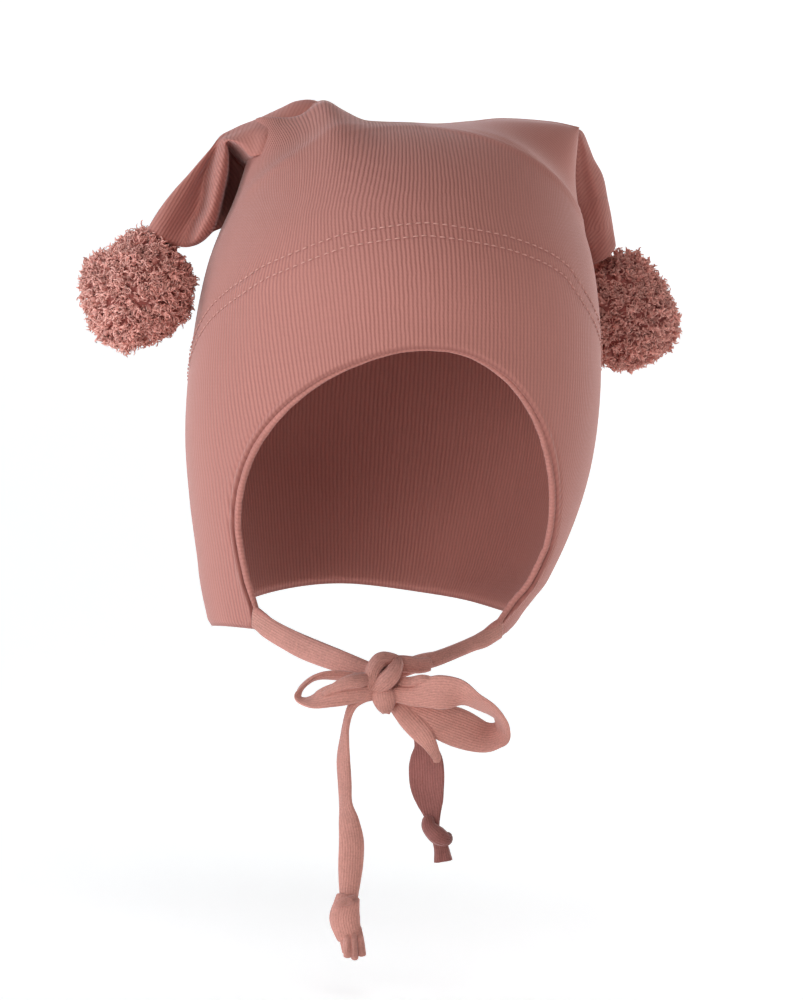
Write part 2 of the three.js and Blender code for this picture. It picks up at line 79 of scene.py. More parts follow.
class Table:
    """Rows under named columns, read smoothly along the first column."""

    def __init__(self, names, *rows):
        self.names = names.split()
        self.rows = np.array(rows, float)

    def __getitem__(self, name):
        return self.rows[:, self.names.index(name)]

    def read(self, at, name):
        """A column's values at places along the first column."""
        keys = self.rows[:, 0]
        values = self[name]
        at = np.asarray(at, float)
        last = len(keys) - 1
        low = np.clip(np.searchsorted(keys, at) - 1, 0, last - 1)
        span = keys[low + 1] - keys[low]
        share = np.clip((at - keys[low]) / span, 0, 1)

        def slope(row):
            before = np.clip(row - 1, 0, last)
            after = np.clip(row + 1, 0, last)
            return (values[after] - values[before]) / (keys[after] - keys[before])

        lean_a = slope(low) * span
        lean_b = slope(low + 1) * span
        squared = share**2
        cubed = share**3
        return (
            (2 * cubed - 3 * squared + 1) * values[low]
            + (cubed - 2 * squared + share) * lean_a
            + (3 * squared - 2 * cubed) * values[low + 1]
            + (cubed - squared) * lean_b
        )

    def along(self, share, name):
        """A column read at a share of the way through rows taken as equally spaced."""
        numbered = Table("row value")
        numbered.rows = np.column_stack([np.arange(len(self.rows)), self[name]])
        return numbered.read(np.asarray(share) * (len(self.rows) - 1), "value")

    def path(self, share):
        """Points of the line that the columns x, y and z give."""
        return np.stack([self.along(share, axis) for axis in "xyz"], -1)


def smooth(low, high, value):
    """0 at low and 1 at high, with an easy start and end. High may be the smaller one."""
    share = np.clip((value - low) / (high - low), 0, 1)
    return share * share * (3 - 2 * share)


def lerp(a, b, share):
    """The value at a share of the way from a to b."""
    return a + (b - a) * share


def bump(distance, height, width):
    """A smooth swelling of some height, by the distance from its middle."""
    return height * np.exp(-((distance / width) ** 2))


def unit(vectors):
    """Vectors brought to a length of 1."""
    size = np.linalg.norm(vectors, axis=-1, keepdims=True)
    return vectors / np.maximum(size, 1e-9)


def travelled(line):
    """The length along a line at each of its points."""
    return np.concatenate([[0], np.cumsum(np.linalg.norm(np.diff(line, axis=0), axis=1))])


def line_distance(x, z, line):
    """Signed distance to a polyline seen from the front, and the length along it."""
    points = np.array(line, float)
    best = np.full(np.shape(x), 1e9)
    signed = np.zeros(np.shape(x))
    travel = np.zeros(np.shape(x))
    run = 0.0
    for start, end in zip(points[:-1], points[1:]):
        step = end - start
        length = np.hypot(*step)
        share = ((x - start[0]) * step[0] + (z - start[1]) * step[1]) / length**2
        held = np.clip(share, 0, 1)
        dx = x - start[0] - held * step[0]
        dz = z - start[1] - held * step[1]
        far = np.hypot(dx, dz)
        nearer = far < best
        side = np.sign(step[0] * dz - step[1] * dx)
        best = np.where(nearer, far, best)
        signed = np.where(nearer, side * far, signed)
        travel = np.where(nearer, run + held * length, travel)
        run += length
    return signed, travel


# ---- Meshes ----


def grid_faces(rows, columns, wrap, first=0, flip=False):
    """Quads between rows of points numbered from first, closed round where wrap is set."""
    faces = []
    for row in range(rows - 1):
        for column in range(columns if wrap else columns - 1):
            a = first + row * columns + column
            b = first + row * columns + (column + 1) % columns
            quad = (a, b, b + columns, a + columns)
            faces.append(quad[::-1] if flip else quad)
    return faces


def tube_faces(rings, sides):
    """Faces of a closed tube: its wall and both of its ends."""
    last = (rings - 1) * sides
    ends = [tuple(range(sides - 1, -1, -1)), tuple(range(last, last + sides))]
    return grid_faces(rings, sides, True) + ends


def make_mesh(name, points, faces, material, coordinates=()):
    """A smooth mesh in metres. coordinates are pairs of a UV map's name and a UV per vertex,
    or a UV per face corner where there are that many."""
    mesh = bpy.data.meshes.new(name)
    mesh.from_pydata((np.asarray(points) * MM).tolist(), [], faces)
    mesh.update()
    corners = np.zeros(len(mesh.loops), int)
    mesh.loops.foreach_get("vertex_index", corners)
    for label, values in coordinates:
        values = np.asarray(values, float)
        layer = mesh.uv_layers.new(name=label)
        per_corner = values if len(values) == len(corners) else values[corners]
        layer.data.foreach_set("uv", per_corner.ravel())
    mesh.polygons.foreach_set("use_smooth", [True] * len(mesh.polygons))
    mesh.materials.append(material)
    piece = bpy.data.objects.new(name, mesh)
    bpy.context.scene.collection.objects.link(piece)
    return piece


def settle(piece, slot, *nodes):
    """Puts a piece on the body and in the place of the nodes it covers. Its slot is not used."""
    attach(piece, "root")
    if nodes:
        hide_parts(*nodes)
    return piece


class Islands:
    """Gathers islands of points, faces and UVs into one mesh."""

    def __init__(self):
        self.points = []
        self.faces = []
        self.ribs = []
        self.count = 0

    def add(self, points, faces, ribs):
        """Adds one island, with a UV for each of its points."""
        points = np.reshape(points, (-1, 3))
        self.points.append(points)
        self.ribs.append(np.reshape(ribs, (-1, 2)))
        self.faces += [tuple(v + self.count for v in face) for face in faces]
        self.count += len(points)

    def build(self, name, material):
        """Makes the mesh of all islands so far."""
        ribs = [("Ribs", np.concatenate(self.ribs))]
        return make_mesh(name, np.concatenate(self.points), self.faces, material, ribs)


# ---- Crown ----

CLOTH = 1.8  # thickness of the double jersey
# Heights on the crown are also told as levels, which are lengths of cloth above the shoulder.
# Over the shoulder a dome closes at the seam between the horns, at level DOME_ARC.
SHOULDER_Z = -62
DOME_HEIGHT = 62
DOME_ARC = 100
LOWEST_LEVEL = -120.0  # below the lowest edge
# How far the crown reaches on each side of its middle, by height.
CROWN_SECTIONS = Table(
    "z right left front back",
    (-176, 56, 42.5, 46, 56), (-169, 58, 45.2, 49.5, 59), (-162, 60, 48.6, 53, 62),
    (-156, 61.4, 52.6, 56.5, 64.5), (-150, 62.5, 56.6, 60, 67), (-131, 66.5, 63.5, 70, 75),
    (-111, 69.5, 68, 76, 81), (-90, 70, 69.5, 79, 84), (-68, 68.5, 68.5, 79, 84), (-51, 66, 66, 79, 84),
    (-40, 63, 63.5, 79, 84), (-28, 58.6, 59.5, 79, 84), (-14, 55, 57, 79, 84), (0, 53, 57.5, 79, 84),
    (10, 53, 57.5, 79, 84),
)
# How much higher than the dome the seam between the horns stands, from right to left.
SEAM_HEIGHTS = Table(
    "x lift",
    (-60, -1), (-52, -0.6), (-47.8, -0.3), (-43, 0), (-40, 0.8), (-36.8, 2.7), (-34.5, 4.8),
    (-32.6, 6.3), (-30.5, 7), (-28, 6.5), (-25.3, 5.1), (-22, 3.6), (-18.7, 2.2), (-15.2, 1.4),
    (0, 1.6), (9, 1.8), (20, 3.6), (31, 5.8), (48, 6.2), (60, 4.4),
)
SEAM_SHARPNESS = 6  # the greater, the closer to the seam that rise stays
# The oval that the head fills, seen from the front. Outside it the front is drawn in, by
# VALLEY_DEPTH of its depth where head_reach is VALLEY_REACH, and less on both sides of that.
HEAD_HALF_WIDTH = 71.5
HEAD_HEIGHT = 65
HEAD_Z = -66
VALLEY_DEPTH = 0.2
VALLEY_REACH = 0.22
NAPE_Z = -158  # the height of the rim at the nape
# The crown's lower edge on each side of the face, by column from the brow down to the cheek,
# and then down the flap to the tie.
FACE_EDGE = {
    "right": dict(
        arch=Table(
            "column angle z",
            (0, 0, -75.8), (1, 6.6, -76.8), (2, 13, -78.9), (3, 19.1, -81.8), (4, 25, -85.2),
            (5, 30.4, -89.1), (6, 35.5, -93.7), (7, 40.2, -98.7), (8, 44.5, -104.2), (9, 48.4, -110.1),
            (10, 51.8, -116.5), (11, 54.6, -123.3), (12, 56.7, -130.5), (13, 57.8, -138),
        ),
        cheek_z=-138, cheek=57.8, top_z=-163.6, end_z=-171, tie=52, bend=2, side_z=-172.5,
    ),
    "left": dict(
        arch=Table(
            "column angle z",
            (0, 0, -75.8), (1, 6.5, -76), (2, 12.7, -77.5), (3, 18.6, -80.4), (4, 24.1, -84.1),
            (5, 29, -88.7), (6, 33.5, -93.9), (7, 37.5, -99.6), (8, 41.1, -105.7), (9, 44.5, -111.9),
            (10, 47.7, -118.3), (11, 50.7, -124.8), (12, 53.4, -131.4), (13, 55.6, -138),
        ),
        cheek_z=-138, cheek=55.6, top_z=-163, end_z=-170, tie=50, bend=3.2, side_z=-162.5,
    ),
}
# Columns in each quarter round the crown, and the ones at the cheek and at both ends of the
# tie's seam, counted from the brow.
QUARTER = 20
CHEEK_AT = 13
TIE_TOP_AT = 16
TIE_END_AT = 17
FINE = 5  # fine columns in each of those
COLUMNS = 4 * QUARTER * FINE
CROWN_ROWS = 116
LINING_ROWS = 30
ROW_CROWDING = 1.25  # the greater, the closer the rows lie at the rim
FACE_ROWS = 60  # the rows, from the edge up, that can lie near the face opening
BLOCK = 4000  # points whose distances are worked out at once
FAR = 9.0  # a distance from any seam that leaves the cloth plain

# How fast the ribs wander round the crown, in degrees for each millimetre of height, below
# and above the brow.
RIB_LEAN = Table(
    "angle low high",
    (-180, 0, 0), (-90, 0, 0), (-50, -0.2, 0), (-30, -0.21, 0.05), (-20, -0.16, 0.095),
    (-10, -0.11, 0.075), (0, -0.07, 0.045), (10, -0.03, 0.02), (30, -0.03, 0.1), (60, 0, 0.05),
    (90, 0, 0), (180, 0, 0),
)
LEAN_LEVELS = (-60, 30)  # the low lean holds between these levels
LEAN_TOP = 35  # and the high lean above this one
TOP_RIB_PITCH = 1.17
TOP_LEVELS = (0, 40)  # levels between which the ribs go over to that pitch
SIDE_ANGLES = (30, 60)  # angles between which they go over from even angles to even lengths
# How much weaker the stretched ribs are: at both sides, on the wearer's left of the front, and
# on the tent of cloth beside the left horn.
SIDE_WEAR = 0.55
LEFT_WEAR = 0.35
TENT_WEAR = 0.5
SLANT_CROWDING = 1.4  # how much closer the slanted ribs beside the left horn run
# The rolled edge over the wearer's right brow, where the front lies over the back, and a soft
# crease that runs from the horn's pocket across the crown: a line seen from the front, with
# where along it the ridge grows and where it dies away.
ROLL = dict(
    line=[(-27, 6.5), (-31, 6.2), (-33.1, 5.2), (-35.3, 3), (-38.2, 0.5), (-42.5, -0.9),
          (-47.6, -1), (-52, -1), (-56, -2)],
    height=0.6, width=1.0, grows=(0, 8), fades=(32, 26),
)
CREASE = dict(
    line=[(-40, -14.5), (-43.1, -15.5), (-46.1, -16.9), (-50.2, -20.3), (-54.2, -24),
          (-58, -29), (-60, -34)],
    height=0.35, width=0.9, grows=(0, 6), fades=(27, 20),
)
# The upper row of topstitching, round the whole crown from the back by the wearer's right.
STITCH_ROW = Table(
    "angle z",
    (-180, -104), (-150, -101), (-125, -95), (-105, -87), (-94, -80), (-84, -72.5), (-75, -66),
    (-66, -60.6), (-59.5, -57), (-52, -52.4), (-44.5, -49), (-32, -43.2), (-24.5, -40.4), (-6.5, -36.2),
    (1, -35.7), (12.5, -36.5), (22, -37.6), (30, -39.3), (38.5, -41.6), (46.5, -45), (53, -50.2),
    (60, -55.2), (70, -62), (80, -69), (90, -77), (103, -86), (122, -95), (150, -101), (180, -104),
)


def rise_of(level):
    """How far up the dome a level lies, as an angle from 0 to a right angle at the seam."""
    return np.maximum(level, 0) / DOME_ARC * math.pi / 2


def level_of(z):
    """The level at a height."""
    rise = np.arcsin(np.clip((z - SHOULDER_Z) / DOME_HEIGHT, 0, 1))
    return np.where(z < SHOULDER_Z, z - SHOULDER_Z, rise * DOME_ARC * 2 / math.pi)


def head_reach(x, z):
    """Below 0 inside the head's oval, 0 on it and above 0 outside it."""
    return (x / HEAD_HALF_WIDTH) ** 2 + ((z - HEAD_Z) / HEAD_HEIGHT) ** 2 - 1


def valley(x, z):
    """The share of its greatest depth that the valley outside the head's oval has."""
    reach = head_reach(x, z)
    share = np.maximum(reach, 0) / VALLEY_REACH
    return np.where((reach > 0) & (z >= HEAD_Z), share * np.exp(1 - share), 0)


def crown_point(angle, level, inset):
    """The place on the crown's plain form at an angle from the brow and a level, moved in."""
    turn = np.radians(angle)
    rise = rise_of(level)
    height = DOME_HEIGHT - inset
    z = SHOULDER_Z + np.where(level < 0, level, height * np.sin(rise))
    half = np.where(
        np.sin(turn) < 0, CROWN_SECTIONS.read(z, "right"), CROWN_SECTIONS.read(z, "left")
    )
    front = np.cos(turn) > 0
    depth = np.where(front, CROWN_SECTIONS.read(z, "front"), CROWN_SECTIONS.read(z, "back"))
    x = np.sin(turn) * (half - inset)
    deep = (depth - inset) * np.cos(rise)
    dip = np.where(front, VALLEY_DEPTH * valley(x, z), 0)
    lift = SEAM_HEIGHTS.read(x, "lift") * np.sin(rise) ** SEAM_SHARPNESS
    return np.stack([x, -np.cos(turn) * deep * (1 - dip), z + lift], -1)


def flap_angle(z, edge):
    """The angle of the face's edge at a height on the cheek flap."""
    share = np.clip((edge["cheek_z"] - z) / (edge["cheek_z"] - edge["top_z"]), 0, 1)
    return lerp(edge["cheek"], edge["tie"], share ** edge["bend"])


def column_ends(column, edge):
    """The angle and height of a column's lower end, and its angle at the seam."""
    top = 90 * column / QUARTER
    if column <= CHEEK_AT:
        arch = edge["arch"]
        return float(arch.read(column, "angle")), float(arch.read(column, "z")), top
    if column <= TIE_TOP_AT:
        z = lerp(edge["cheek_z"], edge["top_z"], (column - CHEEK_AT) / (TIE_TOP_AT - CHEEK_AT))
        return float(flap_angle(z, edge)), z, top
    if column <= TIE_END_AT:
        return edge["tie"], lerp(edge["top_z"], edge["end_z"], column - TIE_TOP_AT), top
    if column <= QUARTER:
        share = (column - TIE_END_AT) / (QUARTER - TIE_END_AT)
        return lerp(edge["tie"], 90, share), lerp(edge["end_z"], edge["side_z"], share), top
    share = (column - QUARTER) / QUARTER
    z = lerp(edge["side_z"], NAPE_Z, (1 - math.cos(share * math.pi)) / 2)
    return lerp(90, 180, share), z, top


def column_place(index, share):
    """The angle and level at shares of the way up a column, from the opening to the seam."""
    side = 1 if index <= 2 * QUARTER else -1
    column = index if side > 0 else 4 * QUARTER - index
    edge = FACE_EDGE["left" if side > 0 else "right"]
    angle, z, top = column_ends(column, edge)
    level = lerp(z - SHOULDER_Z, DOME_ARC, share)
    start = np.full(np.shape(share), float(angle))
    if CHEEK_AT < column <= TIE_END_AT + 1:
        start = flap_angle(SHOULDER_Z + np.minimum(level, 0), edge)
        if column > TIE_END_AT:
            beyond = column_ends(TIE_END_AT + 1, edge)[0]
            start = lerp(start, beyond, column - TIE_END_AT)
    return side * lerp(start, top, share), level


def cloth_lengths():
    """How far each angle lies from the front round the crown, and from the back, by level."""
    angles = np.arange(-180.0, 181.0)
    levels = np.arange(LOWEST_LEVEL, DOME_ARC + 1.0)
    points = crown_point(angles[None, :], levels[:, None], 0)
    steps = np.linalg.norm(np.diff(points, axis=1), axis=-1)
    from_end = np.concatenate([np.zeros((len(levels), 1)), np.cumsum(steps, 1)], 1)
    brow = len(angles) // 2
    front = np.abs(from_end - from_end[:, brow : brow + 1])
    half = np.where(angles < 0, front[:, :1], front[:, -1:])
    return levels, front, half - front


def look_up(levels, values, level, angle):
    """Reads a table of values by level and by angle in steps of one."""
    row = np.clip(level - levels[0], 0, len(levels) - 1.001)
    column = np.clip(angle + 180, 0, 359.999)
    r, c = row.astype(int), column.astype(int)
    row_share, column_share = row - r, column - c
    upper = lerp(values[r, c], values[r, c + 1], column_share)
    lower = lerp(values[r + 1, c], values[r + 1, c + 1], column_share)
    return lerp(upper, lower, row_share)


def rib_places(angle, level, ribs_round):
    """Which rib of the jersey a place on the crown lies on, counted from the front for its
    front half and over the back for its back half."""
    levels, front, back = cloth_lengths()
    side = np.sign(angle + 1e-9)
    quarter = ribs_round / 4
    top = smooth(*TOP_LEVELS, level)
    counts = []
    for lengths in (front, back):
        here = look_up(levels, lengths, level, angle)
        whole = look_up(levels, lengths, level, side * 90)
        counts.append(here / whole * lerp(quarter, whole / TOP_RIB_PITCH, top))
    by_angle = np.abs(angle) / 360 * ribs_round
    ahead = side * lerp(by_angle, counts[0], smooth(*SIDE_ANGLES, np.abs(angle)))
    low = RIB_LEAN.read(angle, "low") * np.clip(level, *LEAN_LEVELS)
    high = RIB_LEAN.read(angle, "high") * np.maximum(level - LEAN_TOP, 0)
    ahead = ahead - (low + high) / 360 * ribs_round
    behind = ribs_round / 2 - side * counts[1]
    return np.stack([ahead, level], -1), np.stack([behind, level], -1)


def ridge(x, z, line, height, width, grows, fades):
    """How high a low ridge along a line stands at each place."""
    across, travel = line_distance(x, z, line)
    return bump(across, height, width) * smooth(*grows, travel) * smooth(*fades, travel)


def crown_relief(point, angle, level):
    """How far the cloth stands out from its plain form at each place."""
    x, z = point[..., 0], point[..., 2]
    away = np.abs(angle)
    front = smooth(0.0, 0.35, np.cos(np.radians(angle)))
    folds = ridge(x, z, **ROLL)
    folds += ridge(x, z, **CREASE)
    seam = bump(DOME_ARC - level, height=0.5, width=1.6)
    reach = head_reach(x, z) * HEAD_HEIGHT / 2
    brow = bump(reach, height=0.7, width=0.8) * smooth(-62, -45, z) * smooth(-60, 60, x)
    # The loose front sways, the neck eases in and the nape ripples.
    sway = 0.35 * np.sin(x / 11 + 0.6) * np.sin(z / 17 + 1.1) * smooth(-60, -20, z)
    ease = 0.5 * np.sin(np.radians(angle) * 7 + 1) * smooth(-110, -160, z)
    nape = 0.5 * np.sin(z / 9) * smooth(110, 150, away) * smooth(-90, -130, z)
    return front * (folds + brow) + seam + sway + ease + nape


def surface_normals(points):
    """Outward normals of a grid of rows round the crown."""
    round_step = np.roll(points, -1, 1) - np.roll(points, 1, 1)
    up_step = np.gradient(points, axis=0)
    return unit(np.cross(round_step, up_step))


def crown_grid(rows):
    """The angle and level at each point of a grid over the crown, its rows closer at the rim."""
    share = np.linspace(0, 1, rows) ** ROW_CROWDING
    angle = np.zeros((rows, COLUMNS))
    level = np.zeros((rows, COLUMNS))
    for column in range(COLUMNS):
        angle[:, column], level[:, column] = column_place(column / FINE, share)
    return angle, level


def stitch_curve(count, offset):
    """Points of a stitch row, their outward normals, and the row's direction. The offset is how
    far below the upper row it lies."""
    share = np.linspace(0, 1, count)
    angle = STITCH_ROW.along(share, "angle")
    level = level_of(STITCH_ROW.along(share, "z"))
    point = crown_point(angle, level, 0)
    by_angle = (crown_point(angle + 0.1, level, 0) - point) / 0.1
    by_level = (crown_point(angle, level + 0.1, 0) - point) / 0.1
    normal = unit(np.cross(by_angle, by_level))
    heading = unit(np.gradient(point, axis=0))
    inward = np.cross(heading, normal)
    if offset:
        basis = np.stack([by_angle, by_level], -1)
        move = np.stack([np.linalg.lstsq(b, s * offset, rcond=None)[0] for b, s in zip(basis, inward)])
        point = crown_point(angle + move[:, 0], level + move[:, 1], 0)
    point = point + normal * crown_relief(point, angle, level)[:, None]
    return point, normal, heading


def distance_to(points, line):
    """How far each point lies from the nearest point of a line, worked out block by block."""
    flat = points.reshape(-1, 3)
    nearest = np.zeros(len(flat))
    for start in range(0, len(flat), BLOCK):
        block = flat[start : start + BLOCK, None, :] - line[None, :, :]
        nearest[start : start + BLOCK] = np.sqrt((block**2).sum(-1)).min(1)
    return nearest.reshape(points.shape[:-1])


# ---- Horns ----

# Points across each horn's front, from its outer edge over its folds to the side against the
# crown, in rows from its root down to its tip.
HORN_FRONTS = {
    "right": [
        ((-26, 5, 3.8), (-27, -2, 2), (-28, -4, -6), (-30, -4, -12),
         (-30, -3, -12.5), (-30, 0, -15), (-30, 4, -16)),
        ((-33, 5, 7.4), (-34, -1.5, 4), (-35.5, -5, -6), (-37, -5, -12),
         (-37, -4, -12.5), (-36, 0, -15), (-35, 4, -16)),
        ((-39.4, 5, 6.7), (-40, -2.5, 3), (-41, -6, -6), (-42, -8, -12.5),
         (-42, -7, -13), (-41, -2, -15), (-38, 3, -17)),
        ((-44.2, 4.6, 4.1), (-44.8, -4, 0.6), (-45.5, -7.5, -6.5), (-46.5, -10, -13),
         (-46.5, -9, -13.5), (-46, -4, -16), (-42, 0, -17.5)),
        ((-48.5, 4, 1.7), (-49.4, -6, -2.4), (-50.2, -10.8, -6.7), (-51.2, -12.6, -13),
         (-51, -11, -13.5), (-50.5, -8, -16.1), (-48.1, -4, -17.9)),
        ((-53, 4, -0.8), (-54, -5.6, -3.6), (-54.8, -9.6, -7.4), (-55.2, -11.5, -13.6),
         (-54.9, -8, -14.4), (-54.3, 4, -15.6), (-48.7, 8, -18.4)),
        ((-57.4, 4, -2.8), (-57.9, -4.6, -5.2), (-58, -8.8, -7.8), (-58.2, -10, -11),
         (-58.1, -5, -11.9), (-57, 12, -13.6), (-48.9, 14, -18.4)),
        ((-61, 4, -4.8), (-61.2, -3.6, -6.7), (-61.1, -7.6, -8.3), (-60.9, -9, -9.7),
         (-60.4, -2, -10.4), (-58.5, 15, -12.6), (-49.7, 17, -19.1)),
        ((-64.1, 3, -6.7), (-64.2, -2.4, -7.9), (-64.1, -5.6, -8.8), (-63, -7.6, -9.6),
         (-61.9, -3, -10), (-59.4, 15, -12.4), (-50.2, 18, -19.7)),
        ((-65.9, 0.5, -8.8), (-66.1, -2.5, -10), (-65.8, -3.2, -11.3), (-64.4, -6.8, -11.4),
         (-62.7, -4.5, -10.8), (-59.7, 14, -13.4), (-50.8, 18, -20.5)),
        ((-67.9, -1, -12), (-67.8, -3, -13), (-66.9, -1.6, -13.9), (-64.9, -8, -14.1),
         (-62.3, -5.5, -12.9), (-59.7, 14, -16), (-51.4, 18, -21.6)),
        ((-71.3, -2, -16.5), (-70.3, -3.5, -17.7), (-68.3, 0.8, -18.1), (-65.6, -8.5, -17.9),
         (-62.1, -5.8, -16.6), (-59.6, 14, -19), (-52.3, 18, -23.1)),
        ((-74.9, -3, -21.3), (-73, -4.2, -22.5), (-69.3, 2, -22.7), (-66.2, -8.8, -22.2),
         (-62.3, -5.8, -20.8), (-59.8, 14, -22.5), (-53.3, 18, -25.5)),
        ((-79.6, -3.5, -27.2), (-76.6, -4.8, -28.6), (-70, 3, -28.4), (-66.9, -8.8, -27.7),
         (-63, -5.6, -26.1), (-60.8, 13, -27.3), (-55, 18, -29)),
        ((-83.5, -3.4, -33), (-79.8, -5.2, -34.6), (-70.9, 3.4, -33), (-67.7, -8.4, -32.6),
         (-63.9, -5.2, -31.2), (-61.9, 11, -31.8), (-56.7, 16, -32.6)),
        ((-86.4, -2.6, -38.6), (-82.2, -5, -40.4), (-73.2, 2.6, -38), (-69.7, -7.8, -37.8),
         (-65.2, -6.2, -36.4), (-63.4, 4, -36.3), (-59.7, 11, -36)),
        ((-87, -1, -41), (-82.2, -3.5, -43.7), (-75, 0.2, -43.6), (-71.3, -5.6, -43.4),
         (-67, -4, -41.2), (-64.6, 3, -39.3), (-61.1, 8, -37.4)),
        ((-86.7, 2, -41.5), (-81.6, 0, -44.4), (-75.2, 0.6, -45.9), (-70.9, -1.4, -45.1),
         (-67.9, 0.6, -43), (-64.9, 4, -39.8), (-61.9, 7, -38)),
    ],
    "left": [
        ((40, 6, 4), (38, 1, 2), (36, 0, -2), (35, 2, -6)),
        ((48, 6, 5.2), (45, 1, 3), (43, 0, -1), (42, 3, -5)),
        ((54.4, 6, 5.6), (51.4, 2, 4.2), (49.3, 0, 1.2), (49, 3, -2)),
        ((57.9, 8, 5.4), (56.2, 3, 4.2), (55.4, 2, 2.4), (54.7, 5, -0.6)),
        ((60.5, 10, 4.4), (59.2, 5, 3.2), (58.2, 4, 1.4), (56.7, 7, -2.2)),
        ((63.1, 12, 0.5), (61.1, 6, -0.6), (59.6, 6, -1.7), (57.4, 9, -6.3)),
        ((65.8, 13, -3.8), (63.2, 7.5, -5.1), (60.7, 8, -6.5), (58.1, 11, -10.7)),
        ((68.9, 15, -8.4), (65.5, 9, -10.2), (62.4, 10.5, -11.9), (59.4, 14, -15.8)),
        ((71.4, 17, -13.5), (67.8, 11, -15.3), (64.4, 13, -17), (61.1, 17, -20.5)),
        ((73.3, 19, -18.7), (69.7, 13, -20.4), (66.2, 14.5, -22.2), (63, 19, -25.3)),
        ((75.1, 21, -24.2), (71.7, 15, -25.9), (68, 16, -27.3), (65.1, 20, -29.7)),
        ((76.4, 22, -28.7), (73.2, 17, -30.8), (70, 18, -32.1), (67.3, 22, -33.7)),
        ((77.3, 23, -32.5), (74.8, 19, -36), (71.6, 20, -38.1), (69.2, 24, -38.9)),
        ((77.4, 24, -33.2), (75.2, 22, -36.6), (72.6, 23, -38.7), (70.5, 26, -39.9)),
    ],
}
# The y that each of those rows reaches at its back.
HORN_BACKS = {
    "right": (18, 19, 20, 20, 20, 21, 23, 24, 24, 24, 24, 24, 24, 23, 20, 16, 11, 7),
    "left": (18, 20, 22, 23, 24, 25, 26, 28, 30, 31, 32, 33, 33, 30),
}
HORN_RINGS = 150
HORN_SIDES = 110
HORN_BACK = ((0.78, 0.86), (0.5, 1.0), (0.2, 0.8))  # shares across the back and of its reach
HORN_PITCH = 0.68  # the pitch of the horns' ribs beside the crown's
# The line that the ribs of the left horn meet along, as a chevron.
HORN_CHEVRON = [(58.5, 2.7), (61, -20), (65.3, -29), (67.5, -42)]
# The points of the right horn's rows that lie in the valley between its folds, and behind.
HORN_VALLEY_AT = 2
HORN_BACK_AT = 7


def outside_crown(points, depth):
    """Points that lie inside the crown, brought out into the thickness of its cloth."""
    x, y, z = points[..., 0], points[..., 1], points[..., 2]
    rise = np.arcsin(np.clip((z - SHOULDER_Z) / DOME_HEIGHT, 0, 0.999))
    half = np.where(x < 0, CROWN_SECTIONS.read(z, "right"), CROWN_SECTIONS.read(z, "left")) - depth
    deep = np.where(y < 0, CROWN_SECTIONS.read(z, "front"), CROWN_SECTIONS.read(z, "back")) - depth
    deep = np.maximum(deep * np.cos(rise), 1) * np.where(y < 0, 1 - VALLEY_DEPTH * valley(x, z), 1)
    out = np.sqrt((x / half) ** 2 + (y / deep) ** 2)
    scale = np.where(out < 1, lerp(1, 1 / np.maximum(out, 0.05), smooth(-1, -5, z)), 1)
    return np.stack([x * scale, y * scale, z], -1)


def spline_weights(places, count, closed):
    """Rows of weights that blend control points smoothly through each of them."""
    weights = np.zeros((len(places), count))
    for row, place in enumerate(places):
        start = min(int(place), count - 1 if closed else count - 2)
        t = place - start
        blend = (
            -0.5 * t + t**2 - 0.5 * t**3,
            1 - 2.5 * t**2 + 1.5 * t**3,
            0.5 * t + 2 * t**2 - 1.5 * t**3,
            -0.5 * t**2 + 0.5 * t**3,
        )
        for step, share in enumerate(blend):
            k = start + step - 1
            k = k % count if closed else min(max(k, 0), count - 1)
            weights[row, k] += share
    return weights


def horn_surface(side, rib_pitch):
    """A horn's rings of points, three counts of its ribs, which of them holds in each column,
    and the ribs' strength. The counts are for the outer fold, the inner fold and the back."""
    rows = []
    for front, reach in zip(HORN_FRONTS[side], HORN_BACKS[side]):
        front = np.array(front, float)
        outer, inner = front[0], front[-1]
        back = []
        for share, depth in HORN_BACK:
            point = lerp(outer, inner, share)
            point[1] = lerp(point[1], reach, depth)
            back.append(point)
        rows.append(np.concatenate([front, back]))
    control = np.array(rows)
    along = spline_weights(np.linspace(0, len(rows) - 1, HORN_RINGS), len(rows), False)
    places = np.linspace(0, control.shape[1], HORN_SIDES, endpoint=False)
    round_weights = spline_weights(places, control.shape[1], True)
    points = np.einsum("ri,ijk,cj->rck", along, control, round_weights)
    x, y, z = points[..., 0], points[..., 1], points[..., 2]
    run = np.cumsum(np.linalg.norm(np.diff(points, axis=0, prepend=points[:1]), axis=-1), 0)
    fine_pitch = rib_pitch * HORN_PITCH
    # On the right horn the ribs slant over each fold in its own direction, and run along the
    # back. On the left one they meet in a chevron.
    if side == "right":
        outer = (0.89 * x - 0.456 * z) / fine_pitch
        inner = (0.83 * x + 0.55 * z - 0.2 * y) / fine_pitch
        strength = lerp(0.4, 0.85, smooth(-56, -66, x))
        steps = np.linalg.norm(np.roll(points, -1, 1) - points, axis=-1)
        to_edge = np.cumsum(steps[:, ::-1], 1)[:, ::-1]
        first = int(np.searchsorted(places, HORN_BACK_AT))
        back = (to_edge[:, first : first + 1] / 2 - to_edge) / fine_pitch
        back[:, 0] = to_edge[:, first] / 2 / fine_pitch
    else:
        across, travel = line_distance(x, z, HORN_CHEVRON)
        outer = inner = back = (0.67 * travel + 0.74 * np.abs(across)) / fine_pitch
        strength = 0.6 + 0 * x
    parts = np.where(places < HORN_VALLEY_AT - 0.01, 0, np.where(places < HORN_BACK_AT, 1, 2))
    # Small dents, so that the folds look soft.
    crumple = 0.25 * np.sin(run / 4.1 + x / 3) * np.sin(y / 5 + z / 6)
    normal = unit(points - points.mean(1, keepdims=True))
    points = outside_crown(points + normal * crumple[..., None], CLOTH / 2)
    fields = [np.stack([ribs, run], -1) for ribs in (outer, inner, back)]
    return points, fields, parts, np.stack([strength, strength], -1)


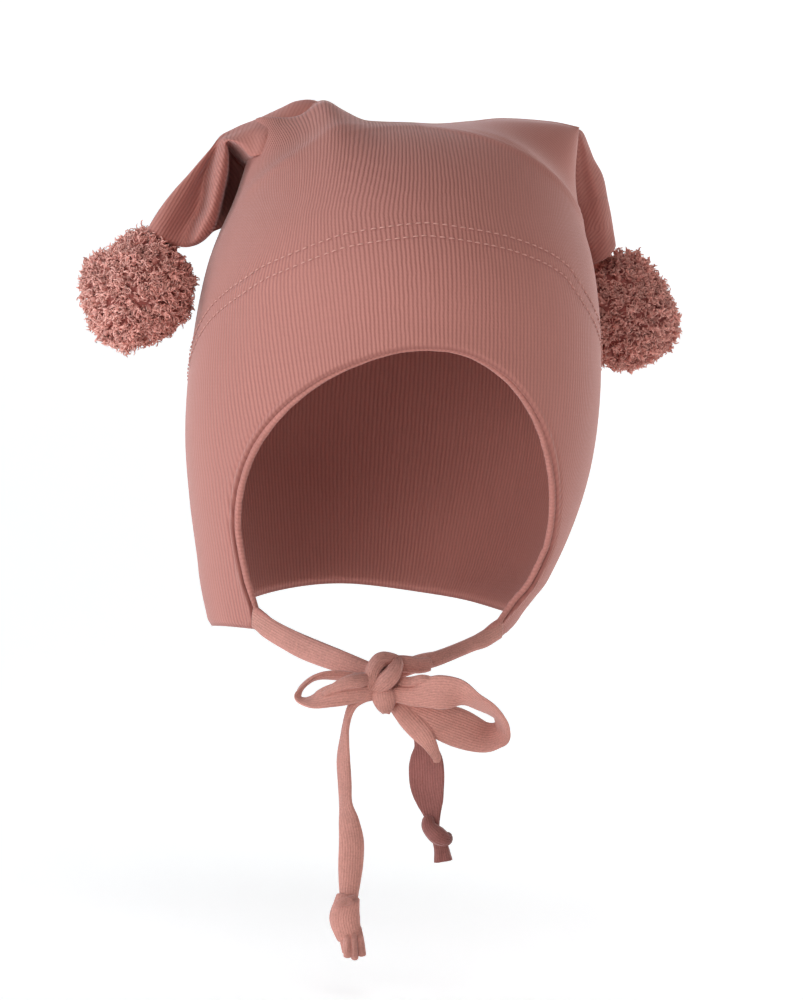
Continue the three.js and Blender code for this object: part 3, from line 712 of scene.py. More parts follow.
# ---- Strips ----


def strip(*rows):
    """A strip's course: its middle, width, thickness, turn in degrees and how far it cups."""
    return Table("x y z wide thick turn cup", *rows)


# From each flap to the knot.
TIES = {
    "right": strip(
        (-45.9, -31.6, -167.2, 7.1, 1.8, 0, 0), (-41.3, -37.8, -170.2, 6.8, 1.8, 0, 0.2),
        (-36, -43.4, -172.8, 7.2, 1.8, 0, 0.3), (-29.6, -49, -175.4, 7.8, 1.9, 4, 0.4),
        (-20, -56, -178.3, 7.4, 2.2, 8, 0.6), (-8, -61, -181.6, 5.8, 2.8, 10, 0.6),
    ),
    "left": strip(
        (36.8, -33, -165.8, 6.8, 1.8, 0, 0), (30.1, -40, -169.3, 5.6, 1.9, 8, 0.3),
        (24.6, -45, -171.3, 4.8, 2.2, 16, 0.5), (13.6, -53.4, -175.4, 5, 2.6, 14, 0.6),
        (6.7, -57.2, -177.3, 5.6, 2.8, 8, 0.6), (-5, -62.5, -181.5, 5.5, 3, 0, 0.6),
    ),
}
# Out of the knot and back into it.
LOOPS = {
    "right": strip(
        (-8, -68.4, -186, 5, 2.6, 0, 0.5), (-13.5, -70.2, -186.6, 6.6, 2.4, 6, 0.8),
        (-18.5, -71.6, -187.4, 7.8, 1.9, 14, 0.8), (-23.5, -72, -188.6, 8, 1.7, 30, 0.4),
        (-29, -71, -190.6, 7.4, 1.6, 58, 0), (-33, -68, -190.3, 6.6, 1.6, 84, 0),
        (-32, -64.7, -186.8, 6.4, 1.6, 84, 0), (-27, -63.2, -183.3, 6.2, 1.7, 74, 0),
        (-19.5, -63.4, -182.6, 5, 2, 58, 0.3), (-8, -62.8, -184, 4, 2.4, 50, 0.3),
    ),
    "left": strip(
        (-4.8, -68.4, -187, 4.6, 2.4, 0, 0.6), (3.2, -71.5, -187.2, 7, 2.2, 2, 1),
        (9.5, -74, -185.6, 11, 1.8, 4, 0.9), (15.5, -75, -185.4, 10.8, 1.6, 16, 0.5),
        (21.4, -74.2, -187, 10.4, 1.6, 58, 0.2), (27, -72.2, -189.6, 10.2, 1.6, 66, 0),
        (32.6, -68.6, -193.8, 10.2, 1.6, 82, 0), (33.4, -64.4, -198.2, 10.4, 1.6, 56, 0),
        (28.6, -62.6, -199.8, 11, 1.6, 26, 0), (19.6, -63.4, -197.2, 12.8, 1.7, 8, 0.3),
        (9.6, -65, -194, 10.6, 2.2, 4, 0.8), (-4.8, -64, -189, 5, 2.6, 0, 0.8),
    ),
}
# The bands of the knot, wound over one another.
KNOT_BANDS = (
    strip(
        (0.5, -62, -178.2, 4.6, 3, 10, 0.5), (-4, -66, -176.6, 5, 3.4, 0, 0.6),
        (-8, -69.2, -176.6, 5.2, 3.4, 0, 0.8), (-10.4, -70.4, -180.4, 5, 3.4, 0, 0.8),
        (-10.2, -69.4, -185, 4.6, 3.2, 0, 0.8), (-9, -66, -188.6, 4.2, 2.8, 0, 0.6),
    ),
    strip(
        (-2, -64, -176.4, 4.4, 3.2, 0, 0.6), (-2.6, -68.8, -178.2, 4.8, 3.4, 0, 1),
        (-4.2, -71.6, -180.8, 5.8, 3.8, 0, 1.1), (-6.8, -71.6, -183.6, 6, 3.8, 0, 1.1),
        (-9.2, -69, -186.4, 5, 3, 0, 0.8), (-9.6, -66.4, -188.6, 4, 2.6, 0, 0.6),
    ),
    strip(
        (-6.8, -68.6, -184.6, 6.4, 3.4, 0, 0.8), (-6.3, -70.4, -187.6, 7.8, 3.6, 0, 1),
        (-5.4, -69.8, -190.6, 6.8, 3.2, 0, 1), (-4.6, -67.6, -192.8, 4, 2.4, 0, 0.8),
    ),
    strip(
        (-6.4, -65.4, -177.4, 5, 4, 0, 0), (-6.6, -66.4, -181, 8.4, 6, 0, 0),
        (-5.4, -66.2, -185, 10, 6, 0, 0), (-5, -65.2, -189, 5, 4, 0, 0),
    ),
    strip(
        (-5, -63.5, -177.8, 5, 3.6, 0, 0.5), (0.5, -63.6, -177.6, 5.6, 4, 0, 0.6),
        (5.5, -61, -178, 5.4, 3.6, 8, 0.6), (10, -57.6, -177.6, 4.8, 2.8, 14, 0.4),
    ),
)
# The puffed folds where the loops leave the knot.
PUFFS = {
    "right": strip(
        (-10.5, -68.4, -182.4, 4, 3, 0, 0.6), (-14.5, -71.4, -183.2, 5, 3.8, 0, 0.8),
        (-18.6, -72.8, -184, 4.4, 3.4, 10, 0.6), (-22.6, -72.8, -186, 3.4, 2.2, 22, 0.4),
        (-26.4, -72.2, -188.6, 2, 1.2, 30, 0.2),
    ),
    "left": strip(
        (-1.5, -67.4, -183.2, 3.4, 2.6, 0, 0.6), (2, -70.6, -183, 3.8, 3, -10, 0.6),
        (5.4, -72.6, -181.6, 3.2, 2.4, -20, 0.4), (8.4, -73.4, -181.4, 2.2, 1.6, -20, 0.2),
    ),
}
# From the knot down to the end knots.
TAILS = {
    "right": strip(
        (-8, -67, -187.2, 4.6, 3, 10, 0.6), (-12.6, -68.8, -188.2, 4.6, 3, 20, 0.6),
        (-16, -68.6, -191.8, 3, 2.4, 44, 0.4), (-17.2, -66.8, -197.6, 2.5, 1.9, 58, 0.3),
        (-17.4, -65.4, -203.6, 4.6, 1.6, 56, 0.2), (-17.2, -65, -209.8, 5.2, 1.5, 40, 0.2),
        (-16.2, -64.2, -217, 5.2, 1.5, 38, 0.2), (-15.4, -64, -223.6, 5.4, 1.6, 46, 0.3),
        (-13.9, -64, -229.6, 6.8, 1.7, 14, 0.5), (-12.6, -64, -236, 8.2, 1.8, 0, 0.7),
        (-12.3, -64, -243, 8.3, 1.9, -4, 0.8), (-12.3, -64, -249, 7.2, 2.2, 0, 0.8),
        (-12.2, -64, -254, 6, 2.8, 0, 0.8), (-12.1, -64, -259, 5, 3, 0, 0.8),
    ),
    "left": strip(
        (-2, -63.4, -190, 5, 2.6, 0, 0.8), (3.6, -62.8, -194.8, 6.4, 2, 0, 0.8),
        (7.4, -62.4, -199, 6, 1.8, 6, 0.6), (9.4, -61.8, -203.2, 7, 1.5, 14, 0.2),
        (10.3, -61.2, -207.6, 10.6, 1.5, 20, -0.3), (10.8, -60.8, -212, 12, 1.5, 24, -0.7),
        (11.4, -60.8, -217, 11.4, 1.6, 22, -0.9), (12.5, -61.2, -221.8, 9, 1.8, 16, -0.9),
        (13.4, -61.8, -226.2, 5.6, 2.4, 8, -0.6), (13.8, -62.2, -229.6, 4.4, 2.8, 0, -0.6),
        (14.8, -62.6, -232.4, 4.4, 2.8, 0, -0.4),
    ),
}
# The face of the short tail that folds over its front just under the knot.
TAIL_FOLD = strip(
    (-1.6, -65, -190.4, 5.4, 2.4, 0, 0.8), (3.2, -65.4, -194.8, 7.6, 2, 4, 0.9),
    (7.2, -66, -199, 7.2, 1.7, 8, 0.7), (10.4, -65.6, -203, 5, 1.5, 16, 0.4),
    (12.8, -64, -206.6, 3.4, 1.4, 24, 0.3), (14.2, -61.4, -209.6, 2.4, 1.3, 28, 0.2),
)
# The bands of each end knot: the wrap and the tuft below it, and on the long tail a collar
# over the wrap and the strips of its frayed end.
TAIL_KNOTS = {
    "right": (
        strip(
            (-12.4, -64.4, -253, 7.6, 3.4, 0, 0.4), (-12.9, -65, -256, 8.6, 4.4, 0, 0.6),
            (-13.3, -65.2, -260.4, 10, 4.8, 4, 0.7), (-12.2, -65, -264.4, 9, 4.4, 4, 0.6),
            (-11, -64.6, -267.4, 7.6, 3.4, 0, 0.5),
        ),
        strip(
            (-11.6, -64.4, -263.4, 6.4, 3.4, 0, 0.4), (-10.8, -64.2, -267.4, 7, 2, 0, 0.6),
            (-9.6, -63.8, -271.2, 7.2, 1.4, 0, 0.4),
        ),
        strip(
            (-10.2, -65.6, -253.8, 2.6, 1.8, 0, 0.3), (-12, -67, -254.4, 3, 2, 0, 0.5),
            (-14.4, -67.2, -255.2, 3, 2, 0, 0.5), (-16.4, -65.8, -256.6, 2.6, 1.8, 0, 0.4),
        ),
        strip(
            (-12.4, -65, -263, 2.2, 2.4, 0, 0.4), (-12.2, -66.4, -268, 2.6, 2.2, 0, 0.5),
            (-11.4, -66, -273.2, 3, 1.8, 0, 0.4),
        ),
        strip(
            (-10.6, -65, -263, 2.2, 2.4, 0, 0.4), (-10, -66.6, -268, 2.4, 2.2, 0, 0.5),
            (-9.2, -66.4, -273.8, 2.4, 1.8, 0, 0.4),
        ),
        strip(
            (-8.8, -64.8, -263, 2.2, 2.2, 0, 0.4), (-7.8, -66, -267.6, 2.6, 2, 0, 0.5),
            (-6.8, -65.6, -272.6, 2.8, 1.6, 0, 0.4),
        ),
    ),
    "left": (
        strip(
            (12.2, -62.6, -226.6, 3.6, 2.6, 0, 0.4), (12.2, -64.4, -229.6, 4.8, 3, 0, 0.8),
            (15, -65.8, -232.2, 6, 3.4, 0, 1), (18, -64.4, -233.4, 4.8, 3, 0, 0.8),
            (18.4, -62.4, -232, 3.2, 2.6, 0, 0.4),
        ),
        strip(
            (15.8, -63, -233.4, 4.4, 3, 0, 0.4), (17, -63.4, -236.8, 5, 2.8, 0, 0.4),
            (17.9, -63.4, -240.8, 6.2, 2.2, 0, 0.4),
        ),
    ),
}
TAIL_PLEATS = {"right": 0.2, "left": 0.42}  # how deep the tails' pleats are
LINE_POINTS = 30  # points of a tail's line down to its end knot, and on through its tuft
TUFT_POINTS = 6
# The points of the short tail's line that are moved towards its folded face, and how far.
FOLDED_POINTS = slice(1, 14)
FOLDED_SHIFT = (0.5, -1, 0)
STRIP_ACROSS = 18  # points round a strip's section
STRIP_SQUARENESS = 3.2  # the greater, the fuller a strip's edges
# A round end grows over END_FULL steps, and starts END_START steps into that.
END_START = 0.35
END_FULL = 1.6
FLAT_WIDTH = 8.0  # a strip this wide lies flat, and a narrower one gathers into pleats
GATHER_WIDTH = 4  # which are full where it is this much narrower
LEAST_GATHER = 0.15
CLOTH_WIDTH = 6.5  # a strip narrower than this has its ribs crowded together
FRILL_WAVES = 3.3


def strip_frames(table, steps, upright=False):
    """Shares along a strip, its middle, and the directions across its face and out of it. An
    upright strip starts along a vertical seam."""
    share = np.linspace(0, 1, steps + 1)
    centre = table.path(share)
    ahead = unit(np.gradient(centre, axis=0))
    flat = unit(np.cross(ahead, np.array([0, -1.0, 0])))
    if upright:
        sewn = np.array([0, 0, np.sign(flat[0, 2])])
        flat = unit(lerp(sewn, flat, smooth(0, 0.3, share)[:, None]))
    turn = np.radians(table.along(share, "turn"))[:, None]
    side = np.cross(ahead, flat)
    flat = flat * np.cos(turn) + side * np.sin(turn)
    normal = np.cross(flat, ahead)
    return share, centre, flat, normal


def add_strip(parts, table, rib_pitch, steps, pleats=3, pleat_depth=0.25, ends="round", frill=0.0):
    """A flat strip of folded jersey with full edges, its ribs and pleats running along. Its ends
    are round, or sewn where it starts, or cut."""
    share, centre, flat, normal = strip_frames(table, steps, ends == "sewn")
    wide, thick, cup = (table.along(share, name) for name in ("wide", "thick", "cup"))
    half = STRIP_ACROSS // 2
    front_w = np.sin(np.linspace(-1, 1, half + 1) * math.pi / 2)
    w = np.concatenate([front_w, front_w[::-1][1:-1]])
    face = np.concatenate([np.ones(half + 1), -np.ones(half - 1)])
    edge = np.sqrt(np.maximum(1 - np.abs(w) ** STRIP_SQUARENESS, 0))
    fall = (np.minimum(share, 1 - share) if ends == "round" else 1 - share) * steps
    rounded = np.sqrt(np.clip((fall + END_START) / END_FULL, 0, 1))
    close = np.ones(len(share)) if ends == "cut" else rounded
    gather = np.clip((FLAT_WIDTH - wide) / GATHER_WIDTH, LEAST_GATHER, 1)
    wave = np.cos(math.pi * pleats * w[None, :] + 2.2 * share[:, None] * pleats)
    lift = (
        face * edge * thick[:, None] / 2
        + cup[:, None] * (0.5 - w[None, :] ** 2)
        + pleat_depth * gather[:, None] * wave * edge
        + frill * share[:, None] ** 2 * np.cos(math.pi * FRILL_WAVES * w[None, :])
    ) * close[:, None]
    points = (
        centre[:, None, :]
        + flat[:, None, :] * (w[None, :] * (wide * close)[:, None] / 2)[..., None]
        + normal[:, None, :] * lift[..., None]
    )
    across = w[None, :] * np.maximum(wide, CLOTH_WIDTH)[:, None] / 2 / rib_pitch
    ribs = np.stack([across, np.broadcast_to(travelled(centre)[:, None], across.shape)], -1)
    parts.add(points, tube_faces(len(share), len(w)), ribs)


# ---- Node groups and materials ----


class Wiring:
    """Short calls for building a node tree."""

    def __init__(self, tree):
        self.tree = tree
        tree.nodes.clear()

    def node(self, kind, **settings):
        made = self.tree.nodes.new(kind)
        for key, value in settings.items():
            setattr(made, key, value)
        return made

    def link(self, source, target):
        self.tree.links.new(source, target)

    def put(self, target, value):
        """Links a socket to the target, or sets the target to a plain value."""
        if isinstance(value, bpy.types.NodeSocket):
            self.link(value, target)
        else:
            target.default_value = value

    def math(self, operation, *values):
        made = self.node("ShaderNodeMath", operation=operation)
        for target, value in zip(made.inputs, values):
            self.put(target, value)
        return made.outputs[0]

    def mix(self, share, a, b, blend="MIX"):
        made = self.node("ShaderNodeMix", data_type="RGBA", blend_type=blend)
        self.put(made.inputs[0], share)
        self.put(made.inputs[6], a)
        self.put(made.inputs[7], b)
        return made.outputs[2]

    def spread(self, value, low, high, to_low=0.0, to_high=1.0):
        """Eases a value from one range into another."""
        made = self.node("ShaderNodeMapRange", interpolation_type="SMOOTHSTEP")
        for target, number in zip(made.inputs, (value, low, high, to_low, to_high)):
            self.put(target, number)
        return made.outputs[0]

    def noise(self, vector, scale, detail=2.0, roughness=0.5):
        made = self.node("ShaderNodeTexNoise")
        self.link(vector, made.inputs["Vector"])
        made.inputs["Scale"].default_value = scale
        made.inputs["Detail"].default_value = detail
        made.inputs["Roughness"].default_value = roughness
        return made.outputs["Fac"]


def group(name, inputs, outputs):
    """A node group with named sockets: its wiring, what it is given and what it puts out."""
    tree = bpy.data.node_groups.new(name, "ShaderNodeTree")
    for label, kind, default in inputs:
        socket = tree.interface.new_socket(label, in_out="INPUT", socket_type=kind)
        socket.default_value = default
    for label, kind in outputs:
        tree.interface.new_socket(label, in_out="OUTPUT", socket_type=kind)
    wiring = Wiring(tree)
    return wiring, wiring.node("NodeGroupInput").outputs, wiring.node("NodeGroupOutput").inputs


def linear(colour):
    """A display colour from 0 to 255 as a linear one."""
    shares = [c / 255 for c in colour]
    return tuple(s / 12.92 if s <= 0.04045 else ((s + 0.055) / 1.055) ** 2.4 for s in shares) + (1.0,)


def build_knit_group():
    """Ribs of jersey along the UV map Ribs, with painted shade in the grooves between them, and with its
    stitches and loose fibres.
    """
    w, given, out = group(
        "Ribbed Knit",
        [
            ("Place", "NodeSocketVector", (0, 0, 0)),
            ("Rib Strength", "NodeSocketFloat", 1.0),
            ("Ridge Colour", "NodeSocketColor", (0.6, 0.3, 0.25, 1)),
            # The colour that paints the shade in the grooves.
            ("Groove Colour", "NodeSocketColor", (0.3, 0.12, 0.1, 1)),
            ("Groove Strength", "NodeSocketFloat", 0.5),
            ("Stitch Length", "NodeSocketFloat", 1.1),
            ("Mottle", "NodeSocketFloat", 0.1),
        ],
        [("Colour", "NodeSocketColor"), ("Height", "NodeSocketFloat")],
    )
    parts = w.node("ShaderNodeSeparateXYZ")
    w.link(given["Place"], parts.inputs[0])
    across, along = parts.outputs[0], parts.outputs[1]
    coordinates = w.node("ShaderNodeTexCoord").outputs["Object"]
    # One rib to each whole number across, wandering a little.
    drift = w.noise(coordinates, 260, 1.0)
    wander = w.math("MULTIPLY", w.math("SUBTRACT", drift, 0.5), 0.35)
    turn = w.math("MULTIPLY", w.math("ADD", across, wander), 2 * math.pi)
    ridge = w.math("MULTIPLY_ADD", w.math("COSINE", turn), 0.5, 0.5)
    ridge = w.math("POWER", ridge, 0.6)
    # Stitches along the rib, as small chevrons.
    bend = w.math("PINGPONG", across, 0.5)
    step = w.math("DIVIDE", along, given["Stitch Length"])
    chevron = w.math("MULTIPLY", w.math("ADD", step, w.math("MULTIPLY", bend, 1.2)), 2 * math.pi)
    stitch = w.math("MULTIPLY_ADD", w.math("SINE", chevron), 0.5, 0.5)
    # Loose fibres, and cloudy patches where the grooves show less.
    fibre = w.noise(coordinates, 1500, 3.0, 0.7)
    cloud = w.noise(coordinates, 45, 3.0, 0.6)
    # The grooves take the groove colour: painted shade in them, on top of the bump's own relief.
    depth = w.math("MULTIPLY", w.math("SUBTRACT", 1.0, ridge), given["Groove Strength"])
    depth = w.math("MULTIPLY", depth, w.spread(cloud, 0.25, 0.7, 0.6, 1.1))
    depth = w.math("MULTIPLY", depth, given["Rib Strength"])
    colour = w.mix(depth, given["Ridge Colour"], given["Groove Colour"])
    grain = w.math("MULTIPLY_ADD", w.math("SUBTRACT", fibre, 0.5), given["Mottle"], 1.0)
    shade = w.math("MULTIPLY_ADD", w.math("SUBTRACT", cloud, 0.5), given["Mottle"], grain)
    dim = w.math("MULTIPLY_ADD", stitch, 0.03, 0.98)
    shade = w.math("MULTIPLY", shade, dim)
    tone = w.node("ShaderNodeCombineColor")
    for socket in tone.inputs[:3]:
        w.link(shade, socket)
    w.link(w.mix(1.0, colour, tone.outputs[0], "MULTIPLY"), out["Colour"])
    height = w.math("MULTIPLY_ADD", stitch, 0.08, w.math("MULTIPLY", ridge, 0.75))
    height = w.math("MULTIPLY", height, given["Rib Strength"])
    fluff = w.math("MULTIPLY", fibre, w.math("MULTIPLY_ADD", given["Mottle"], 1.2, 0.1))
    w.link(w.math("ADD", fluff, height), out["Height"])
    return w.tree


def build_yarn_group():
    """Twisted cotton yarn: darker towards the root with painted shade, each strand a little different."""
    w, given, out = group(
        "Cut Yarn",
        [
            ("Tip Colour", "NodeSocketColor", (0.6, 0.3, 0.25, 1)),
            ("Root Colour", "NodeSocketColor", (0.2, 0.06, 0.05, 1)),
        ],
        [("Colour", "NodeSocketColor"), ("Height", "NodeSocketFloat")],
    )
    place = w.node("ShaderNodeUVMap", uv_map="Ribs").outputs[0]
    parts = w.node("ShaderNodeSeparateXYZ")
    w.link(place, parts.inputs[0])
    strand, along = parts.outputs[0], parts.outputs[1]
    coordinates = w.node("ShaderNodeTexCoord").outputs["Object"]
    fibre = w.noise(coordinates, 1300, 3.0, 0.7)
    patch = w.noise(coordinates, 170, 2.0)
    # From the roots' colour out to the tips': painted shade deep in the pompom, lighter where the tips
    # stand out.
    lit = w.spread(along, 0.35, 0.98)
    lit = w.math("MULTIPLY", lit, w.spread(patch, 0.2, 0.7, 0.7, 1.0))
    colour = w.mix(lit, given["Root Colour"], given["Tip Colour"])
    vary = w.math("MULTIPLY_ADD", strand, 0.3, 0.85)
    vary = w.math("MULTIPLY_ADD", w.math("SUBTRACT", fibre, 0.5), 0.3, vary)
    tone = w.node("ShaderNodeCombineColor")
    for socket in tone.inputs[:3]:
        w.link(vary, socket)
    w.link(w.mix(1.0, colour, tone.outputs[0], "MULTIPLY"), out["Colour"])
    w.link(fibre, out["Height"])
    return w.tree


def cotton(name, roughness, sheen, sheen_colour):
    """A material with its wiring and a matt Principled shader."""
    material = bpy.data.materials.new(name)
    material.use_nodes = True
    w = Wiring(material.node_tree)
    shader = w.node("ShaderNodeBsdfPrincipled")
    shader.inputs["Roughness"].default_value = roughness
    shader.inputs["Sheen Weight"].default_value = sheen
    shader.inputs["Sheen Roughness"].default_value = 0.32
    shader.inputs["Sheen Tint"].default_value = sheen_colour
    shader.inputs["Specular IOR Level"].default_value = 0.15
    w.link(shader.outputs[0], w.node("ShaderNodeOutputMaterial").inputs[0])
    return material, w, shader


def bumped(w, shader, height, distance):
    """Gives a shader relief of some depth, in metres."""
    relief = w.node("ShaderNodeBump")
    relief.inputs["Distance"].default_value = distance
    relief.inputs["Strength"].default_value = 1.0
    w.link(height, relief.inputs["Height"])
    w.link(relief.outputs[0], shader.inputs["Normal"])


# What each knit is made with: the colour of its ridges, the strength of the painted shade in its grooves,
# its relief as a share of the ribs' height, the length of its stitches in millimetres, and how mottled it
# is.
KNITS = {
    "crown_jersey": ("jersey", 0.4, 0.7, 1.3, 0.16),
    "binding_jersey": ("jersey", 0.16, 0.45, 1.1, 0.42),
    "strap_jersey": ("strap", 0.16, 0.5, 0.9, 0.8),
    # The short tail's knit: a darker copy of the ties' jersey that paints the shade on it.
    "strap_shaded_tail": ("reverse", 0.3, 0.6, 0.9, 0.75),
}


def knit_material(name, sizes, colours):
    """Ribbed cotton jersey. On the crown it is slanted, worn and pressed by its own UV maps, and darkened
    along its edges with a painted shadow.
    """
    ridge, groove, relief, stitch_length, mottle = KNITS[name]
    seams = name == "crown_jersey"
    material, w, shader = cotton(name, 0.92, colours.sheen, linear(colours.fuzz))
    knit = w.node("ShaderNodeGroup")
    knit.node_tree = bpy.data.node_groups["Ribbed Knit"]
    knit.inputs["Ridge Colour"].default_value = linear(getattr(colours, ridge))
    knit.inputs["Groove Colour"].default_value = linear(colours.groove)
    knit.inputs["Groove Strength"].default_value = groove
    knit.inputs["Stitch Length"].default_value = stitch_length
    knit.inputs["Mottle"].default_value = mottle
    colour, height = knit.outputs["Colour"], knit.outputs["Height"]
    place = w.node("ShaderNodeUVMap", uv_map="Ribs").outputs[0]
    if seams:
        slanted = w.node("ShaderNodeUVMap", uv_map="Slant").outputs[0]
        parts = w.node("ShaderNodeSeparateXYZ")
        w.link(slanted, parts.inputs[0])
        choose = w.node("ShaderNodeMix", data_type="VECTOR")
        w.link(w.math("GREATER_THAN", parts.outputs[1], 0.0), choose.inputs[0])
        w.link(place, choose.inputs[4])
        w.link(slanted, choose.inputs[5])
        place = choose.outputs[1]
        worn = w.node("ShaderNodeSeparateXYZ")
        w.link(w.node("ShaderNodeUVMap", uv_map="Wear").outputs[0], worn.inputs[0])
        w.link(worn.outputs[0], knit.inputs["Rib Strength"])
    w.link(place, knit.inputs["Place"])
    if seams:
        place = w.node("ShaderNodeUVMap", uv_map="Seams").outputs[0]
        parts = w.node("ShaderNodeSeparateXYZ")
        w.link(place, parts.inputs[0])
        rows = w.spread(parts.outputs[0], 0.1, 1.1, 0.35, 1.0)
        edge = w.spread(parts.outputs[1], 0.2, 1.8, 0.0, 1.0)
        pressed = w.math("MULTIPLY", rows, edge)
        # Within 1.8 mm of the rim and the face's edge the colour is drawn towards the grooves' colour: a
        # painted shadow where the cloth turns under.
        colour = w.mix(w.spread(edge, 0.0, 1.0, 0.3, 0.0), colour, linear(colours.groove))
        height = w.math("MULTIPLY_ADD", pressed, 0.5, w.math("MULTIPLY", height, pressed))
    w.link(colour, shader.inputs["Base Color"])
    bumped(w, shader, height, sizes.rib_height * relief * MM)
    return material


def yarn_material(name, colours):
    """Cut cotton yarn, lighter at its tips and darkened at its roots with painted shade."""
    material, w, shader = cotton(name, 0.95, 0.2, linear(colours.fuzz))
    yarn = w.node("ShaderNodeGroup")
    yarn.node_tree = bpy.data.node_groups["Cut Yarn"]
    yarn.inputs["Tip Colour"].default_value = linear(colours.yarn)
    yarn.inputs["Root Colour"].default_value = linear(colours.yarn_root)
    w.link(yarn.outputs["Colour"], shader.inputs["Base Color"])
    bumped(w, shader, yarn.outputs["Height"], 0.25 * MM)
    return material


def thread_material(name, colours):
    """Twisted sewing thread, a little darker between its fibres."""
    material, w, shader = cotton(name, 0.7, 0.2, linear(colours.fuzz))
    coordinates = w.node("ShaderNodeTexCoord").outputs["Object"]
    fibre = w.noise(coordinates, 2200, 2.0)
    thread = linear(colours.thread)
    darker = tuple(c * 0.8 for c in thread[:3]) + (1.0,)
    w.link(w.mix(fibre, darker, thread), shader.inputs["Base Color"])
    bumped(w, shader, fibre, 0.15 * MM)
    return material


def material_for(name, sizes, colours):
    """The material of that name, made when it is first asked for."""
    if name in bpy.data.materials:
        return bpy.data.materials[name]
    if "Ribbed Knit" not in bpy.data.node_groups:
        build_knit_group()
        build_yarn_group()
    if name in KNITS:
        return knit_material(name, sizes, colours)
    if name == "pompom_yarn":
        return yarn_material(name, colours)
    if name == "stitch_thread":
        return thread_material(name, colours)
    raise ValueError(f"there is no material named {name}")


def plain_material(name, colour, roughness):
    """Smooth paint in one colour, for the stage."""
    material = bpy.data.materials.new(name)
    material.use_nodes = True
    w = Wiring(material.node_tree)
    shader = w.node("ShaderNodeBsdfPrincipled")
    shader.inputs["Base Color"].default_value = linear(colour)
    shader.inputs["Roughness"].default_value = roughness
    w.link(shader.outputs[0], w.node("ShaderNodeOutputMaterial").inputs[0])
    return material


# ---- Settings ----


class BonnetSizes(bpy.types.PropertyGroup):
    """Sizes of the bonnet's finer parts, in millimetres."""

    rib_pitch: FloatProperty(
        name="Rib Pitch", description="Width of one rib, in millimetres", default=1.6, min=0.5
    )
    ribs_round: IntProperty(
        name="Ribs Round", description="Ribs round the crown at the brow", default=300, min=24
    )
    strap_pitch: FloatProperty(
        name="Strap Rib Pitch",
        description="Width of a rib on the ties, in millimetres",
        default=0.85,
        min=0.3,
    )
    rib_height: FloatProperty(
        name="Rib Height", description="Relief of the ribs, in millimetres", default=0.32, min=0
    )
    stitch_pitch: FloatProperty(
        name="Stitch Pitch", description="From stitch to stitch, in millimetres", default=2.95, min=1
    )
    stitch_length: FloatProperty(
        name="Stitch Length", description="Length of a stitch, in millimetres", default=2.0, min=0.5
    )
    row_gap: FloatProperty(
        name="Row Gap", description="Between the two stitch rows, in millimetres", default=4.8, min=1
    )
    yarn_width: FloatProperty(
        name="Yarn Width", description="Thickness of the pompom yarn, in millimetres", default=1.75, min=0.3
    )
    tuft_count: IntProperty(
        name="Tuft Count", description="Tufts of cut yarn in each pompom", default=1000, min=100
    )


class BonnetColours(bpy.types.PropertyGroup):
    """Colours of the cloth, thread and yarn, from 0 to 255 as displayed."""

    jersey: FloatVectorProperty(
        name="Jersey", description="Ridges of the crown's ribs", default=(187, 125, 115), size=3
    )
    strap: FloatVectorProperty(
        name="Ties", description="Ridges of the ties' ribs", default=(199, 140, 128), size=3
    )
    # A darker copy of the ties' colour, which paints the shade on the short tail.
    reverse: FloatVectorProperty(
        name="Reverse", description="Ridges of the short tail's reverse", default=(148, 94, 88), size=3
    )
    # Darker than the ridges to paint the shade in the grooves; also used for the painted shadow along the
    # crown's edges.
    groove: FloatVectorProperty(
        name="Grooves", description="Grooves between the ribs", default=(112, 60, 56), size=3
    )
    thread: FloatVectorProperty(
        name="Thread", description="Topstitching", default=(216, 158, 147), size=3
    )
    yarn: FloatVectorProperty(
        name="Yarn", description="Tips of the pompom yarn", default=(252, 190, 176), size=3
    )
    # The roots' darker colour paints the shade deep inside the pompoms.
    yarn_root: FloatVectorProperty(
        name="Yarn Roots", description="Deep inside the pompoms", default=(180, 108, 100), size=3
    )
    fuzz: FloatVectorProperty(
        name="Fuzz", description="Tint of the cloth's sheen", default=(238, 214, 212), size=3
    )
    floor: FloatVectorProperty(
        name="Floor", description="Floor and backdrop", default=(243, 243, 243), size=3
    )
    sheen: FloatProperty(
        name="Sheen", description="Strength of the cotton's sheen", default=0.6, min=0, max=1
    )


# ---- Operators ----


# The backdrop is a floor that sweeps up into a wall, in millimetres: where it starts and ends,
# the radius of its sweep, the wall's height and half its width.
FLOOR_DROP = 12  # how far it lies under the part
FLOOR_FRONT, FLOOR_BACK = -3200.0, 700.0
SWEEP_RADIUS = 600
SWEEP_STEPS = 12
WALL_HEIGHT = 3000.0
WALL_HALF = 3500.0
FLOOR_GLOW = 0.4
# The soft lights: where each stands and how wide it is in metres, its power and its tint.
LIGHTS = (
    ("key_light", (-0.95, -1.65, -0.1), 0.9, 12.1, (1, 0.985, 0.975)),
    ("left_light", (-1.5, -0.35, 0.0), 1.0, 14.5, (0.74, 0.93, 1.04)),
    ("top_light", (-0.1, -1.1, 1.1), 1.0, 6.2, (1, 1, 1)),
    ("right_light", (1.35, 0.9, 0.1), 0.9, 12, (1, 0.95, 0.93)),
)
LIT_POINT = (0, 0, -0.12)
AIR_LIGHT = 0.1  # what the air around gives to the part
AIR_SHOWN = 0.47  # how much brighter than that it shows behind the part
# The camera: its azimuth, elevation and roll in degrees, the point it looks at, how far that is
# moved to its right and up, its distance, all in metres, and its lens in millimetres.
CAMERA_TURN = (-8, 1, 3.9)
CAMERA_AIM = (0, 0, -0.127)
CAMERA_SHIFT = (0.005, 0.0011)
CAMERA_DISTANCE = 1.25
CAMERA_LENS = 88.24


def settings(context):
    """The sizes and colours that the bonnet is built with."""
    return context.scene.bonnet_sizes, context.scene.bonnet_colours


